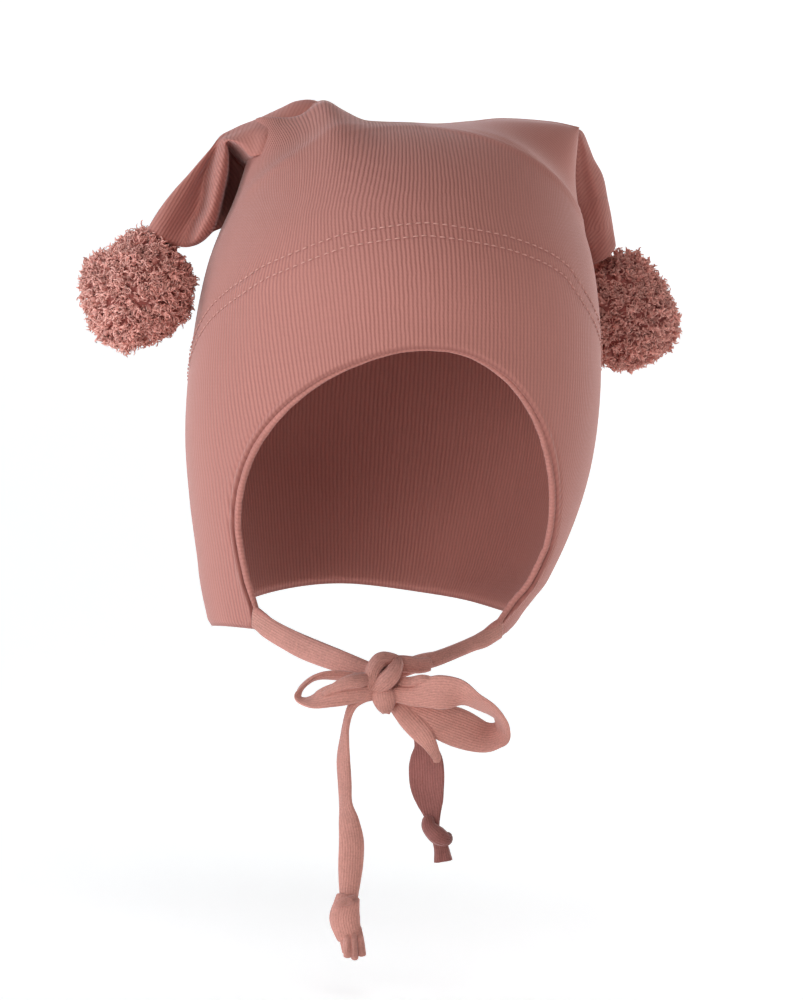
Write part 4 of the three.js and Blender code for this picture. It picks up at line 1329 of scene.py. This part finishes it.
class BONNET_OT_stage(bpy.types.Operator):
    """Make the pale floor, the soft lights and the camera"""

    bl_idname = "bonnet.stage"
    bl_label = "Build Stage"

    def execute(self, context):
        scene = context.scene
        scene.view_settings.view_transform = "Standard"
        floor_material = plain_material("stage_paint", scene.bonnet_colours.floor, 0.9)
        floor_z = CAD_BOX[0][2] / MM - FLOOR_DROP
        profile = [(FLOOR_FRONT, 0.0), (FLOOR_BACK, 0.0)]
        for k in range(1, SWEEP_STEPS + 1):
            turn = math.pi / 2 * k / SWEEP_STEPS
            rise = SWEEP_RADIUS * (1 - math.cos(turn))
            profile.append((FLOOR_BACK + SWEEP_RADIUS * math.sin(turn), rise))
        profile.append((FLOOR_BACK + SWEEP_RADIUS, WALL_HEIGHT))
        points = [(x, y, floor_z + z) for y, z in profile for x in (-WALL_HALF, WALL_HALF)]
        faces = [(2 * k, 2 * k + 1, 2 * k + 3, 2 * k + 2) for k in range(len(profile) - 1)]
        glow = floor_material.node_tree.nodes["Principled BSDF"].inputs
        glow["Emission Color"].default_value = (1, 1, 1, 1)
        glow["Emission Strength"].default_value = FLOOR_GLOW
        backdrop = make_mesh("studio_sweep", points, faces, floor_material)

        middle = Vector(LIT_POINT)
        for label, place, size, power, tint in LIGHTS:
            light = bpy.data.lights.new(label, "AREA")
            light.shape = "DISK"
            light.size = size
            light.energy = power
            light.color = tint
            lamp = bpy.data.objects.new(label, light)
            lamp.location = place
            lamp.rotation_euler = (middle - lamp.location).to_track_quat("-Z", "Y").to_euler()
            scene.collection.objects.link(lamp)
        world = bpy.data.worlds.new("studio_air")
        world.use_nodes = True
        air = Wiring(world.node_tree)
        background = air.node("ShaderNodeBackground")
        background.inputs["Color"].default_value = (1, 1, 1, 1)
        seen = air.node("ShaderNodeLightPath").outputs["Is Camera Ray"]
        strength = air.math("MULTIPLY_ADD", seen, AIR_SHOWN, AIR_LIGHT)
        air.link(strength, background.inputs["Strength"])
        air.link(background.outputs[0], air.node("ShaderNodeOutputWorld").inputs[0])
        scene.world = world

        azimuth, elevation, roll = (math.radians(a) for a in CAMERA_TURN)
        level = math.cos(elevation)
        back = Vector((math.sin(azimuth) * level, -math.cos(azimuth) * level, math.sin(elevation)))
        right = Vector((math.cos(azimuth), math.sin(azimuth), 0))
        up = back.cross(right)
        across = right * math.cos(roll) + up * math.sin(roll)
        upright = up * math.cos(roll) - right * math.sin(roll)
        aim = Vector(CAMERA_AIM) + right * CAMERA_SHIFT[0] + up * CAMERA_SHIFT[1]
        eye = aim + back * CAMERA_DISTANCE
        camera = bpy.data.cameras.new("studio_camera")
        camera.sensor_fit = "VERTICAL"
        camera.sensor_height = 24
        camera.lens = CAMERA_LENS
        view = bpy.data.objects.new("studio_camera", camera)
        basis = Matrix((across, upright, back)).transposed().to_4x4()
        view.matrix_world = Matrix.Translation(eye) @ basis
        scene.collection.objects.link(view)
        scene.camera = view
        return {"FINISHED"}


def face_lip(angle, to_face):
    """The rolled lip along the cheeks: a ridge at the face's edge and a groove beside it."""
    lip = bump(to_face - 1.1, height=0.35, width=0.7) - bump(to_face - 2.5, height=0.3, width=0.6)
    away = np.abs(angle)
    return lip * smooth(22, 48, away) * smooth(80, 62, away)


def crown_sheet(lining, sizes, stitch_rows):
    """The outside or the lining of the crown: a grid of points, and the fields of its UV maps,
    which are ribs counted ahead and behind, distances to seams, slanted ribs and rib strength."""
    rows, inset = (LINING_ROWS, CLOTH) if lining else (CROWN_ROWS, 0)
    angle, level = crown_grid(rows)
    away = np.abs(angle)
    to_rim = level - level[0]
    # The rim turns over in a soft roll, and the seam's end is tucked down behind the right horn.
    turned = bump(to_rim, height=1, width=1.1) * CLOTH * 0.42
    grid = crown_point(angle, level, inset - turned if lining else inset + turned)
    normal = surface_normals(crown_point(angle, level, 0 * level + inset))
    grid = grid + normal * crown_relief(grid, angle, level)[..., None]
    under_horn = smooth(-46, -51, grid[..., 0]) * smooth(4.5, 1, DOME_ARC - level)
    grid[..., 2] -= 2 * under_horn * smooth(-2.5, 0.5, grid[..., 1])
    if not lining:
        # Along the cheeks the nearest edge is the face's, not the rim below.
        near = slice(0, FACE_ROWS)
        face_edge = grid[0][away[0] < FACE_EDGE["right"]["cheek"] + 1]
        to_face = distance_to(grid[near], face_edge)
        grid[near] += normal[near] * face_lip(angle[near], to_face)[..., None]
        nearest = np.minimum(to_face, to_rim[near])
        to_rim[near] = np.where(away[near] < 80, nearest, to_rim[near])
    ahead, behind = rib_places(angle, level, sizes.ribs_round)
    to_rows = np.full(level.shape, FAR) if lining else distance_to(grid, stitch_rows)
    sides = smooth(58, 78, away) * smooth(125, 100, away)
    left = LEFT_WEAR * smooth(0, 45, angle) * smooth(100, 70, away)
    wear = (1 - SIDE_WEAR * sides) * (1 - left)
    x, y, z = grid[..., 0], grid[..., 1], grid[..., 2]
    slant = (0.64 * x + 0.42 * y + 0.77 * z) / sizes.rib_pitch * SLANT_CROWDING
    outside = np.where((x > 0) & (away < 90) & (z > -45), head_reach(x, z), -1)
    outside = -1.0 + 0 * x if lining else outside
    wear = wear * (1 - TENT_WEAR * smooth(-0.05, 0.02, outside))
    pairs = ((to_rows, to_rim), (slant, outside), (wear, wear))
    return grid, (ahead, behind, *(np.stack(pair, -1) for pair in pairs))


def crown_maps(sheets):
    """The crown's UV maps at the corners of its faces, sheet by sheet and then along the rim."""
    c = np.arange(COLUMNS)
    frontal = ((c < COLUMNS // 4) | (c >= 3 * COLUMNS // 4))[:, None]

    def corners(quad, layer):
        """The values of one layer at the corners of a row of quads."""
        found = []
        for sheet, row, column in quad:
            ahead, behind, *others = (f[row, column % COLUMNS] for f in sheets[sheet])
            found.append((np.where(frontal, ahead, behind), *others)[layer])
        return np.stack(found, 1).reshape(-1, 2)

    maps = ([], [], [], [])
    for layer, values in enumerate(maps):
        for sheet, fields in enumerate(sheets):
            for row in range(len(fields[0]) - 1):
                quad = [(sheet, row, c), (sheet, row, c + 1), (sheet, row + 1, c + 1), (sheet, row + 1, c)]
                values.append(corners(quad[::-1] if sheet else quad, layer))
        values.append(corners([(0, 0, c), (1, 0, c), (1, 0, c + 1), (0, 0, c + 1)], layer))
    return maps


def horn_end(rings, around, flip):
    """The numbers of the points round a horn's closed tip, in the order of its faces."""
    end = [(rings - 1) * around + k for k in range(around)]
    return end[::-1] if flip else end


class BONNET_OT_crown(bpy.types.Operator):
    """Make the ribbed crown with its two hollow horns"""

    bl_idname = "bonnet.crown"
    bl_label = "Build Crown"

    def execute(self, context):
        sizes, colours = settings(context)
        stitch_rows = [stitch_curve(ROW_POINTS, offset)[0] for offset in (0, sizes.row_gap)]
        stitch_rows = np.concatenate(stitch_rows)
        points, faces, sheets = [], [], []
        first = 0
        for lining in (False, True):
            grid, fields = crown_sheet(lining, sizes, stitch_rows)
            points.append(grid.reshape(-1, 3))
            faces += grid_faces(len(grid), COLUMNS, True, first, lining)
            sheets.append(fields)
            first += grid[..., 0].size
        # The outside and the lining are joined along the rim.
        inner = CROWN_ROWS * COLUMNS
        for column in range(COLUMNS):
            beside = (column + 1) % COLUMNS
            faces.append((column, inner + column, inner + beside, beside))
        maps = crown_maps(sheets)
        for side in ("right", "left"):
            horn, horn_fields, parts, wear = horn_surface(side, sizes.rib_pitch)
            rings, around = horn.shape[:2]
            points.append(horn.reshape(-1, 3))
            flip = side == "left"
            faces += grid_faces(rings, around, True, first, flip)
            quads = np.array(grid_faces(rings, around, True, 0, flip))
            end = horn_end(rings, around, flip)
            faces.append(tuple(first + k for k in end))
            # Each face takes the count of ribs that holds in its column.
            choices = np.stack([field.reshape(-1, 2)[quads] for field in horn_fields])
            chosen = np.tile(parts, rings - 1)[None, :, None, None]
            maps[0].append(np.take_along_axis(choices, chosen, 0).reshape(-1, 2))
            maps[0].append(horn_fields[0].reshape(-1, 2)[end])
            maps[1].append(np.full((quads.size + around, 2), FAR))
            maps[2].append(np.full((quads.size + around, 2), -1.0))
            flat_wear = wear.reshape(-1, 2)
            maps[3].append(np.concatenate([flat_wear[quads.ravel()], flat_wear[end]]))
            first += rings * around
        material = material_for("crown_jersey", sizes, colours)
        names = ("Ribs", "Seams", "Slant", "Wear")
        maps = [(name, np.concatenate(values)) for name, values in zip(names, maps)]
        crown = make_mesh("crown_cloth", np.concatenate(points), faces, material, maps)
        settle(crown, "jersey", "crown")
        return {"FINISHED"}


ROW_POINTS = 400  # points of a stitch row that press the cloth
FINE_ROW_POINTS = 900  # and that its stitches are laid on
ROW_MARGIN = 2.0  # the bare length at each end of a row
# A stitch is a short bowed thread.
STITCH_RINGS = 6
STITCH_SIDES = 6
STITCH_HALF = (0.27, 0.26)  # half its width and half its height
STITCH_LIFT = 0.12  # how high its ends lie over the cloth
STITCH_BOW = 0.22  # and how much higher its middle does


class BONNET_OT_topstitching(bpy.types.Operator):
    """Make the two rows of topstitching round the crown"""

    bl_idname = "bonnet.topstitching"
    bl_label = "Build Topstitching"

    def execute(self, context):
        sizes, colours = settings(context)
        parts = Islands()
        lengths = np.linspace(-1, 1, STITCH_RINGS)
        turns = np.linspace(0, 2 * math.pi, STITCH_SIDES, endpoint=False)
        faces = tube_faces(STITCH_RINGS, STITCH_SIDES)
        swell = np.sqrt(np.maximum(1 - np.abs(lengths) ** 2.5, 0.03))
        for offset in (0, sizes.row_gap):
            line, normal, heading = stitch_curve(FINE_ROW_POINTS, offset)
            run = travelled(line)
            for at in np.arange(ROW_MARGIN, run[-1] - ROW_MARGIN, sizes.stitch_pitch):
                k = int(np.searchsorted(run, at))
                side = np.cross(normal[k], heading[k])
                body = (
                    line[k]
                    + normal[k] * STITCH_LIFT
                    + heading[k] * (lengths * sizes.stitch_length / 2)[:, None]
                )
                bend = normal[k] * (STITCH_BOW * (1 - lengths**2))[:, None]
                ring = (
                    side * (STITCH_HALF[0] * np.cos(turns))[:, None]
                    + normal[k] * (STITCH_HALF[1] * np.sin(turns))[:, None]
                )
                points = (body + bend)[:, None, :] + ring[None, :, :] * swell[:, None, None]
                parts.add(points, faces, np.zeros((STITCH_RINGS * STITCH_SIDES, 2)))
        material = material_for("stitch_thread", sizes, colours)
        settle(parts.build("brow_topstitching", material), "jersey")
        return {"FINISHED"}


BINDING_HALF = 1.05  # half the thickness of the binding's roll
BINDING_SIDES = 20
BINDING_FULLNESS = 0.8  # the smaller, the squarer its section
BINDING_STOP = 0.7  # columns that it stops short of the tie's seam
BROW_SHOWN = 0.6  # how much of it shows over the brow
CHEEK_SHOWN = 1.5  # and how much more down the cheeks, from column WIDEST_AT
WIDEST_AT = 10.5
BROW_SUNK = 2.0  # how far behind the middle of the crown's cloth it lies over the brow
CHEEK_SUNK = 0.35  # and at the cheeks
ALONG_TIE = (0.03, 0.24)  # the shares of each tie that its ends run along
TIE_FULL = 0.05  # where along a tie it starts to grow thin
TIE_OVERLAP = 0.5  # how far it lies over a tie's edge
END_SIZE = 0.25  # the share of its thickness that its thin ends keep
TIE_STEPS = 60


class BONNET_OT_binding(bpy.types.Operator):
    """Make the folded binding round the face opening"""

    bl_idname = "bonnet.binding"
    bl_label = "Build Binding"

    def execute(self, context):
        sizes, colours = settings(context)
        count = 4 * QUARTER
        step = 1 / (2 * FINE)
        reach = TIE_TOP_AT - BINDING_STOP
        places = np.arange(-reach, reach + step / 10, step)

        def edge_point(column, inset):
            angle, level = column_place(column % count, np.array([0.0]))
            return crown_point(angle, level, inset)[0]

        outer = np.array([edge_point(c, 0) for c in places])
        inner = np.array([edge_point(c, CLOTH) for c in places])
        along = unit(np.gradient(outer, axis=0))
        normal = unit(outer - inner)
        inward = unit(np.cross(along, normal))
        # It shows as a line over the brow, where it lies deeper, and widens down the cheeks.
        away = np.abs(places)
        shown = (BROW_SHOWN + CHEEK_SHOWN * np.minimum(away / WIDEST_AT, 1) ** 1.5)[:, None]
        down = smooth(0.1, 0.95, np.minimum(away / CHEEK_AT, 1))
        sunk = lerp(BROW_SUNK, CHEEK_SUNK, down)[:, None]
        middle = (outer + inner) / 2 + inward * (shown - BINDING_HALF) - normal * sunk
        size = np.ones(len(places))
        for at_start, side in ((True, "right"), (False, "left")):
            share, centre, flat, facing = strip_frames(TIES[side], TIE_STEPS, True)
            kept = (share > ALONG_TIE[0]) & (share < ALONG_TIE[1])
            wide = TIES[side].along(share, "wide")[:, None]
            upward = flat * np.sign(flat[:, 2:])
            edge = (centre + upward * (wide / 2 - TIE_OVERLAP))[kept]
            taper = smooth(ALONG_TIE[1], TIE_FULL, share[kept])
            pieces = [(edge, middle), (upward[kept], inward), (facing[kept], normal), (taper, size)]
            if at_start:
                middle, inward, normal, size = (np.concatenate([a[::-1], b]) for a, b in pieces)
            else:
                middle, inward, normal, size = (np.concatenate([b, a]) for a, b in pieces)
        turn = np.linspace(0, 2 * math.pi, BINDING_SIDES, endpoint=False)
        w, n = (
            np.sign(v) * np.abs(v) ** BINDING_FULLNESS * BINDING_HALF
            for v in (np.cos(turn), np.sin(turn))
        )
        run = travelled(middle)
        ripple = (END_SIZE + (1 - END_SIZE) * size[:, None]) * (1 + 0.03 * np.sin(run / 1.3)[:, None])
        points = (
            middle[:, None, :]
            + inward[:, None, :] * (w[None, :] * ripple)[..., None]
            + normal[:, None, :] * (n[None, :] * ripple)[..., None]
        )
        across = run[:, None] / sizes.rib_pitch / 0.9
        girth = turn * BINDING_HALF
        ribs = np.stack(np.broadcast_arrays(across, girth[None, :]), -1)
        parts = Islands()
        parts.add(points, tube_faces(len(run), BINDING_SIDES), ribs)
        material = material_for("binding_jersey", sizes, colours)
        settle(parts.build("face_binding_cloth", material), "jersey", "face_binding")
        return {"FINISHED"}


class BONNET_OT_ties(bpy.types.Operator):
    """Make the flat ties from the flaps to the knot"""

    bl_idname = "bonnet.ties"
    bl_label = "Build Ties"

    def execute(self, context):
        sizes, colours = settings(context)
        material = material_for("strap_jersey", sizes, colours)
        for side, table in TIES.items():
            parts = Islands()
            pitch = sizes.strap_pitch
            add_strip(parts, table, pitch, TIE_STEPS, pleats=2, pleat_depth=0.14, ends="sewn")
            settle(parts.build(f"tie_{side}", material), "jersey", f"chin_tie_{side}")
        return {"FINISHED"}


class BONNET_OT_bow(bpy.types.Operator):
    """Make the bow: its knot and its two loops"""

    bl_idname = "bonnet.bow"
    bl_label = "Build Bow"

    def execute(self, context):
        sizes, colours = settings(context)
        material = material_for("strap_jersey", sizes, colours)
        knot = Islands()
        for table in KNOT_BANDS:
            add_strip(knot, table, sizes.strap_pitch, steps=36, pleats=4, pleat_depth=0.55)
        settle(knot.build("knot_cloth", material), "jersey", "bow_knot")
        for side, table in LOOPS.items():
            parts = Islands()
            add_strip(parts, table, sizes.strap_pitch, steps=110, pleat_depth=0.3)
            add_strip(parts, PUFFS[side], sizes.strap_pitch, steps=30, pleat_depth=0.3)
            settle(parts.build(f"loop_{side}", material), "jersey", f"bow_loop_{side}")
        return {"FINISHED"}


class BONNET_OT_tails(bpy.types.Operator):
    """Make the free ends of the ties, each with its end knot and tuft"""

    bl_idname = "bonnet.tails"
    bl_label = "Build Tails"

    def execute(self, context):
        sizes, colours = settings(context)
        pitch = sizes.strap_pitch
        material = material_for("strap_jersey", sizes, colours)
        fold = Islands()
        add_strip(fold, TAIL_FOLD, pitch, steps=50)
        settle(fold.build("tail_left_fold", material), "jersey")
        for side, table in TAILS.items():
            parts = Islands()
            add_strip(parts, table, pitch, steps=100, pleat_depth=TAIL_PLEATS[side])
            wrap, tuft, *collar = TAIL_KNOTS[side]
            for band in (wrap, *collar):
                add_strip(parts, band, pitch, steps=36, pleat_depth=0.3)
            add_strip(parts, tuft, pitch, steps=24, pleats=4, pleat_depth=0.4, ends="cut", frill=0.6)
            # The left tail takes the darker copy of the ties' jersey, which paints the shade on it.
            if side == "left":
                material = material_for("strap_shaded_tail", sizes, colours)
            tail = parts.build(f"tail_{side}", material)
            settle(tail, "jersey", f"tie_tail_{side}")
            line = table.path(np.linspace(0, 1, LINE_POINTS))
            if side == "left":
                line[FOLDED_POINTS] += FOLDED_SHIFT
            line = np.concatenate([line, tuft.path(np.linspace(0, 1, TUFT_POINTS))])
        return {"FINISHED"}


# How far each pompom reaches across the view, as a share of its collision ball's radius, by the
# angle from the wearer's left upwards.
POMPOM_OUTLINES = {
    "right": Table(
        "angle reach",
        (0, 1), (15, 1.04), (29, 0.99), (50, 1), (66, 1.02), (88, 1.08), (103, 0.98), (129, 0.84),
        (148, 0.965), (160, 1.03), (177, 1), (193, 0.965), (213, 0.94), (228, 0.99), (248, 1.02),
        (260, 1.01), (274, 0.92), (279, 0.85), (300, 0.875), (323, 0.935), (339, 0.99), (360, 1),
    ),
    "left": Table(
        "angle reach",
        (0, 0.88), (18, 0.8), (39, 0.79), (55, 0.85), (75, 0.96), (87, 1.08), (96, 1.12), (130, 1.12),
        (160, 1.1), (190, 1.06), (215, 0.98), (242, 0.89), (260, 0.87), (277, 0.86), (299, 0.84),
        (320, 0.86), (340, 0.92), (360, 0.88),
    ),
}
TUFT_SWELL = np.array([0.8, 1.1, 1.2, 0.7])  # a tuft's thickness at each of its rings
TUFT_SIDES = 4
TUFT_REACH = (0.88, 1.02)  # the least and greatest reach of a tuft beside the pompom's own
TUFT_SPAN = (0.66, 0.93)  # the shares of that reach between which it runs
FIBRES = 9  # loose fibres at the end of each tuft
FIBRE_TAPER = np.array([1.0, 1.0, 0.85, 0.5])
FIBRE_SIDES = 3
FIBRE_LENGTH = (1.0, 2.3)  # the least and greatest, in millimetres
FIBRE_COIL = (2.0, 5.0)  # how far it turns along its length, in radians
SHADE_BALL_REACH = 0.8  # the reach of the dark ball of painted shade, as a share of the pompom's
SHADE_BALL_ROWS = 14
SHADE_BALL_COLUMNS = 24


def pompom_reach(side, out):
    """The pompom's reach along each direction from its middle."""
    angle = np.degrees(np.arctan2(out[..., 2], out[..., 0])) % 360
    rim = POMPOM_OUTLINES[side].read(angle, "reach")
    return lerp(0.97, rim, (out[..., 0] ** 2 + out[..., 2] ** 2) ** 1.5)


def strands(lines, radii, sides):
    """Tubes along lines, as points by line, ring and side, and their faces."""
    count, rings = lines.shape[:2]
    ahead = unit(np.gradient(lines, axis=1))
    beside = unit(np.cross(ahead, np.array([0.31, 0.87, -0.38])))
    above = np.cross(ahead, beside)
    turn = np.linspace(0, 2 * math.pi, sides, endpoint=False)[:, None]
    ring = beside[:, :, None] * np.cos(turn) + above[:, :, None] * np.sin(turn)
    points = lines[:, :, None] + ring * radii[:, :, None, None]
    each = rings * sides
    one = np.array(grid_faces(rings, sides, True))
    quads = (one[None] + np.arange(count)[:, None, None] * each).reshape(-1, 4)
    ends = np.arange(count)[:, None] * each + np.arange(each - sides, each)
    return points, quads.tolist() + ends.tolist()


def strand_places(tone, low, high, points):
    """UVs of strands: the tone of each one, and how far out each of its rings lies."""
    rings, sides = points.shape[1:3]
    run = np.linspace(low, high, rings)[:, None]
    return np.stack(np.broadcast_arrays(tone[:, None, None], run, np.zeros(sides))[:2], -1)


class BONNET_OT_pompoms(bpy.types.Operator):
    """Make the two pompoms of cut yarn"""

    bl_idname = "bonnet.pompoms"
    bl_label = "Build Pompoms"

    def execute(self, context):
        sizes, colours = settings(context)
        material = material_for("pompom_yarn", sizes, colours)
        for side, seed in (("right", 5), ("left", 11)):
            node = f"pompom_{side}"
            low, high = (np.array(corner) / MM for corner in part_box(node))
            centre, reach = (low + high) / 2, (high - low) / 2
            rng = np.random.default_rng(seed)
            count = sizes.tuft_count
            # Tufts spread evenly over a ball, in a spiral from its top, and then jostled.
            order = np.arange(count) + 0.5
            up = 1 - 2 * order / count
            turn = order * math.pi * (3 - math.sqrt(5))
            flat = np.sqrt(1 - up**2)
            out = np.stack([flat * np.cos(turn), flat * np.sin(turn), up], -1)
            out = unit(out + rng.normal(0, 0.035, out.shape))
            full = pompom_reach(side, out) * rng.uniform(*TUFT_REACH, count)
            lean = unit(out + rng.normal(0, 0.3, out.shape))
            hue = rng.random(count)

            t = np.linspace(0, 1, len(TUFT_SWELL))[None, :, None]
            distance = lerp(*TUFT_SPAN, t) * full[:, None, None]
            stem = (out[:, None] * distance + (lean - out)[:, None] * 0.14 * t**2) * reach
            thick = sizes.yarn_width / 2 * TUFT_SWELL * rng.uniform(0.8, 1.25, (count, 1))
            stems, stem_faces = strands(centre + stem, thick, TUFT_SIDES)

            # Fibres fan out of the last length of each tuft and coil a little.
            total = count * FIBRES
            parent = np.repeat(np.arange(count), FIBRES)
            fan = unit(lean[parent] + rng.normal(0, 0.75, (total, 3)))
            low_end = stem[parent, -2]
            start = low_end + (stem[parent, -1] - low_end) * rng.random((total, 1))
            start = start + rng.normal(0, sizes.yarn_width / 4, (total, 3))
            length = rng.uniform(*FIBRE_LENGTH, total)[:, None, None]
            bend_a = unit(np.cross(fan, rng.normal(0, 1, (total, 3))))[:, None]
            bend_b = np.cross(fan[:, None], bend_a)
            t = np.linspace(0, 1, len(FIBRE_TAPER))[None, :, None]
            coil = t * rng.uniform(*FIBRE_COIL, total)[:, None, None]
            coils = bend_a * np.sin(coil) + bend_b * (1 - np.cos(coil))
            fibre = start[:, None] + (fan[:, None] * t + coils * 0.32) * length
            far = np.linalg.norm(fibre / reach, axis=-1, keepdims=True)
            fibre = fibre * np.minimum(1, (full[parent] * 1.02)[:, None, None] / far)
            thick = sizes.yarn_width / 5 * FIBRE_TAPER * rng.uniform(0.7, 1.3, (total, 1))
            fibres, fibre_faces = strands(centre + fibre, thick, FIBRE_SIDES)

            parts = Islands()
            parts.add(stems, stem_faces, strand_places(hue, 0.0, 0.75, stems))
            tone = np.clip(hue[parent] + rng.normal(0, 0.2, total), 0, 1)
            parts.add(fibres, fibre_faces, strand_places(tone, 0.5, 1.0, fibres))
            settle(parts.build(f"{node}_yarn", material), "yarn", node)

            # Behind the tufts a dark ball in the roots' colour paints the shade in what would be gaps.
            core = Islands()
            rise = np.linspace(0, math.pi, SHADE_BALL_ROWS)[:, None]
            spin = np.linspace(0, 2 * math.pi, SHADE_BALL_COLUMNS, endpoint=False)
            ball = [np.sin(rise) * np.cos(spin), np.sin(rise) * np.sin(spin), -np.cos(rise) + 0 * spin]
            ball = np.stack(ball, -1)
            ball = ball * pompom_reach(side, ball)[..., None] * SHADE_BALL_REACH
            faces = grid_faces(SHADE_BALL_ROWS, SHADE_BALL_COLUMNS, True)
            core.add(centre + ball * reach, faces, np.zeros((SHADE_BALL_ROWS * SHADE_BALL_COLUMNS, 2)))
            settle(core.build(f"{node}_shade_ball", material), "yarn")
        return {"FINISHED"}


# ---- Panel and registration ----

STEPS = (
    BONNET_OT_stage,
    BONNET_OT_crown,
    BONNET_OT_topstitching,
    BONNET_OT_binding,
    BONNET_OT_ties,
    BONNET_OT_bow,
    BONNET_OT_tails,
    BONNET_OT_pompoms,
)


class BONNET_PT_panel(bpy.types.Panel):
    """Lists the bonnet's settings and the steps that build it"""

    bl_idname = "BONNET_PT_panel"
    bl_label = "Baby Bonnet"
    bl_space_type = "VIEW_3D"
    bl_region_type = "UI"
    bl_category = "Bonnet"

    def draw(self, context):
        layout = self.layout
        for settings in (context.scene.bonnet_sizes, context.scene.bonnet_colours):
            box = layout.box()
            for name in settings.__annotations__:
                box.prop(settings, name)
        for step in STEPS:
            layout.operator(step.bl_idname)


CLASSES = (BonnetSizes, BonnetColours) + STEPS + (BONNET_PT_panel,)


def register():
    for cls in CLASSES:
        bpy.utils.register_class(cls)
    bpy.types.Scene.bonnet_sizes = PointerProperty(type=BonnetSizes)
    bpy.types.Scene.bonnet_colours = PointerProperty(type=BonnetColours)


def unregister():
    del bpy.types.Scene.bonnet_colours
    del bpy.types.Scene.bonnet_sizes
    for cls in reversed(CLASSES):
        bpy.utils.unregister_class(cls)


def main():
    register()
    for step in STEPS:
        group_name, call = step.bl_idname.split(".")
        getattr(getattr(bpy.ops, group_name), call)()


if __name__ == "__main__":
    main()
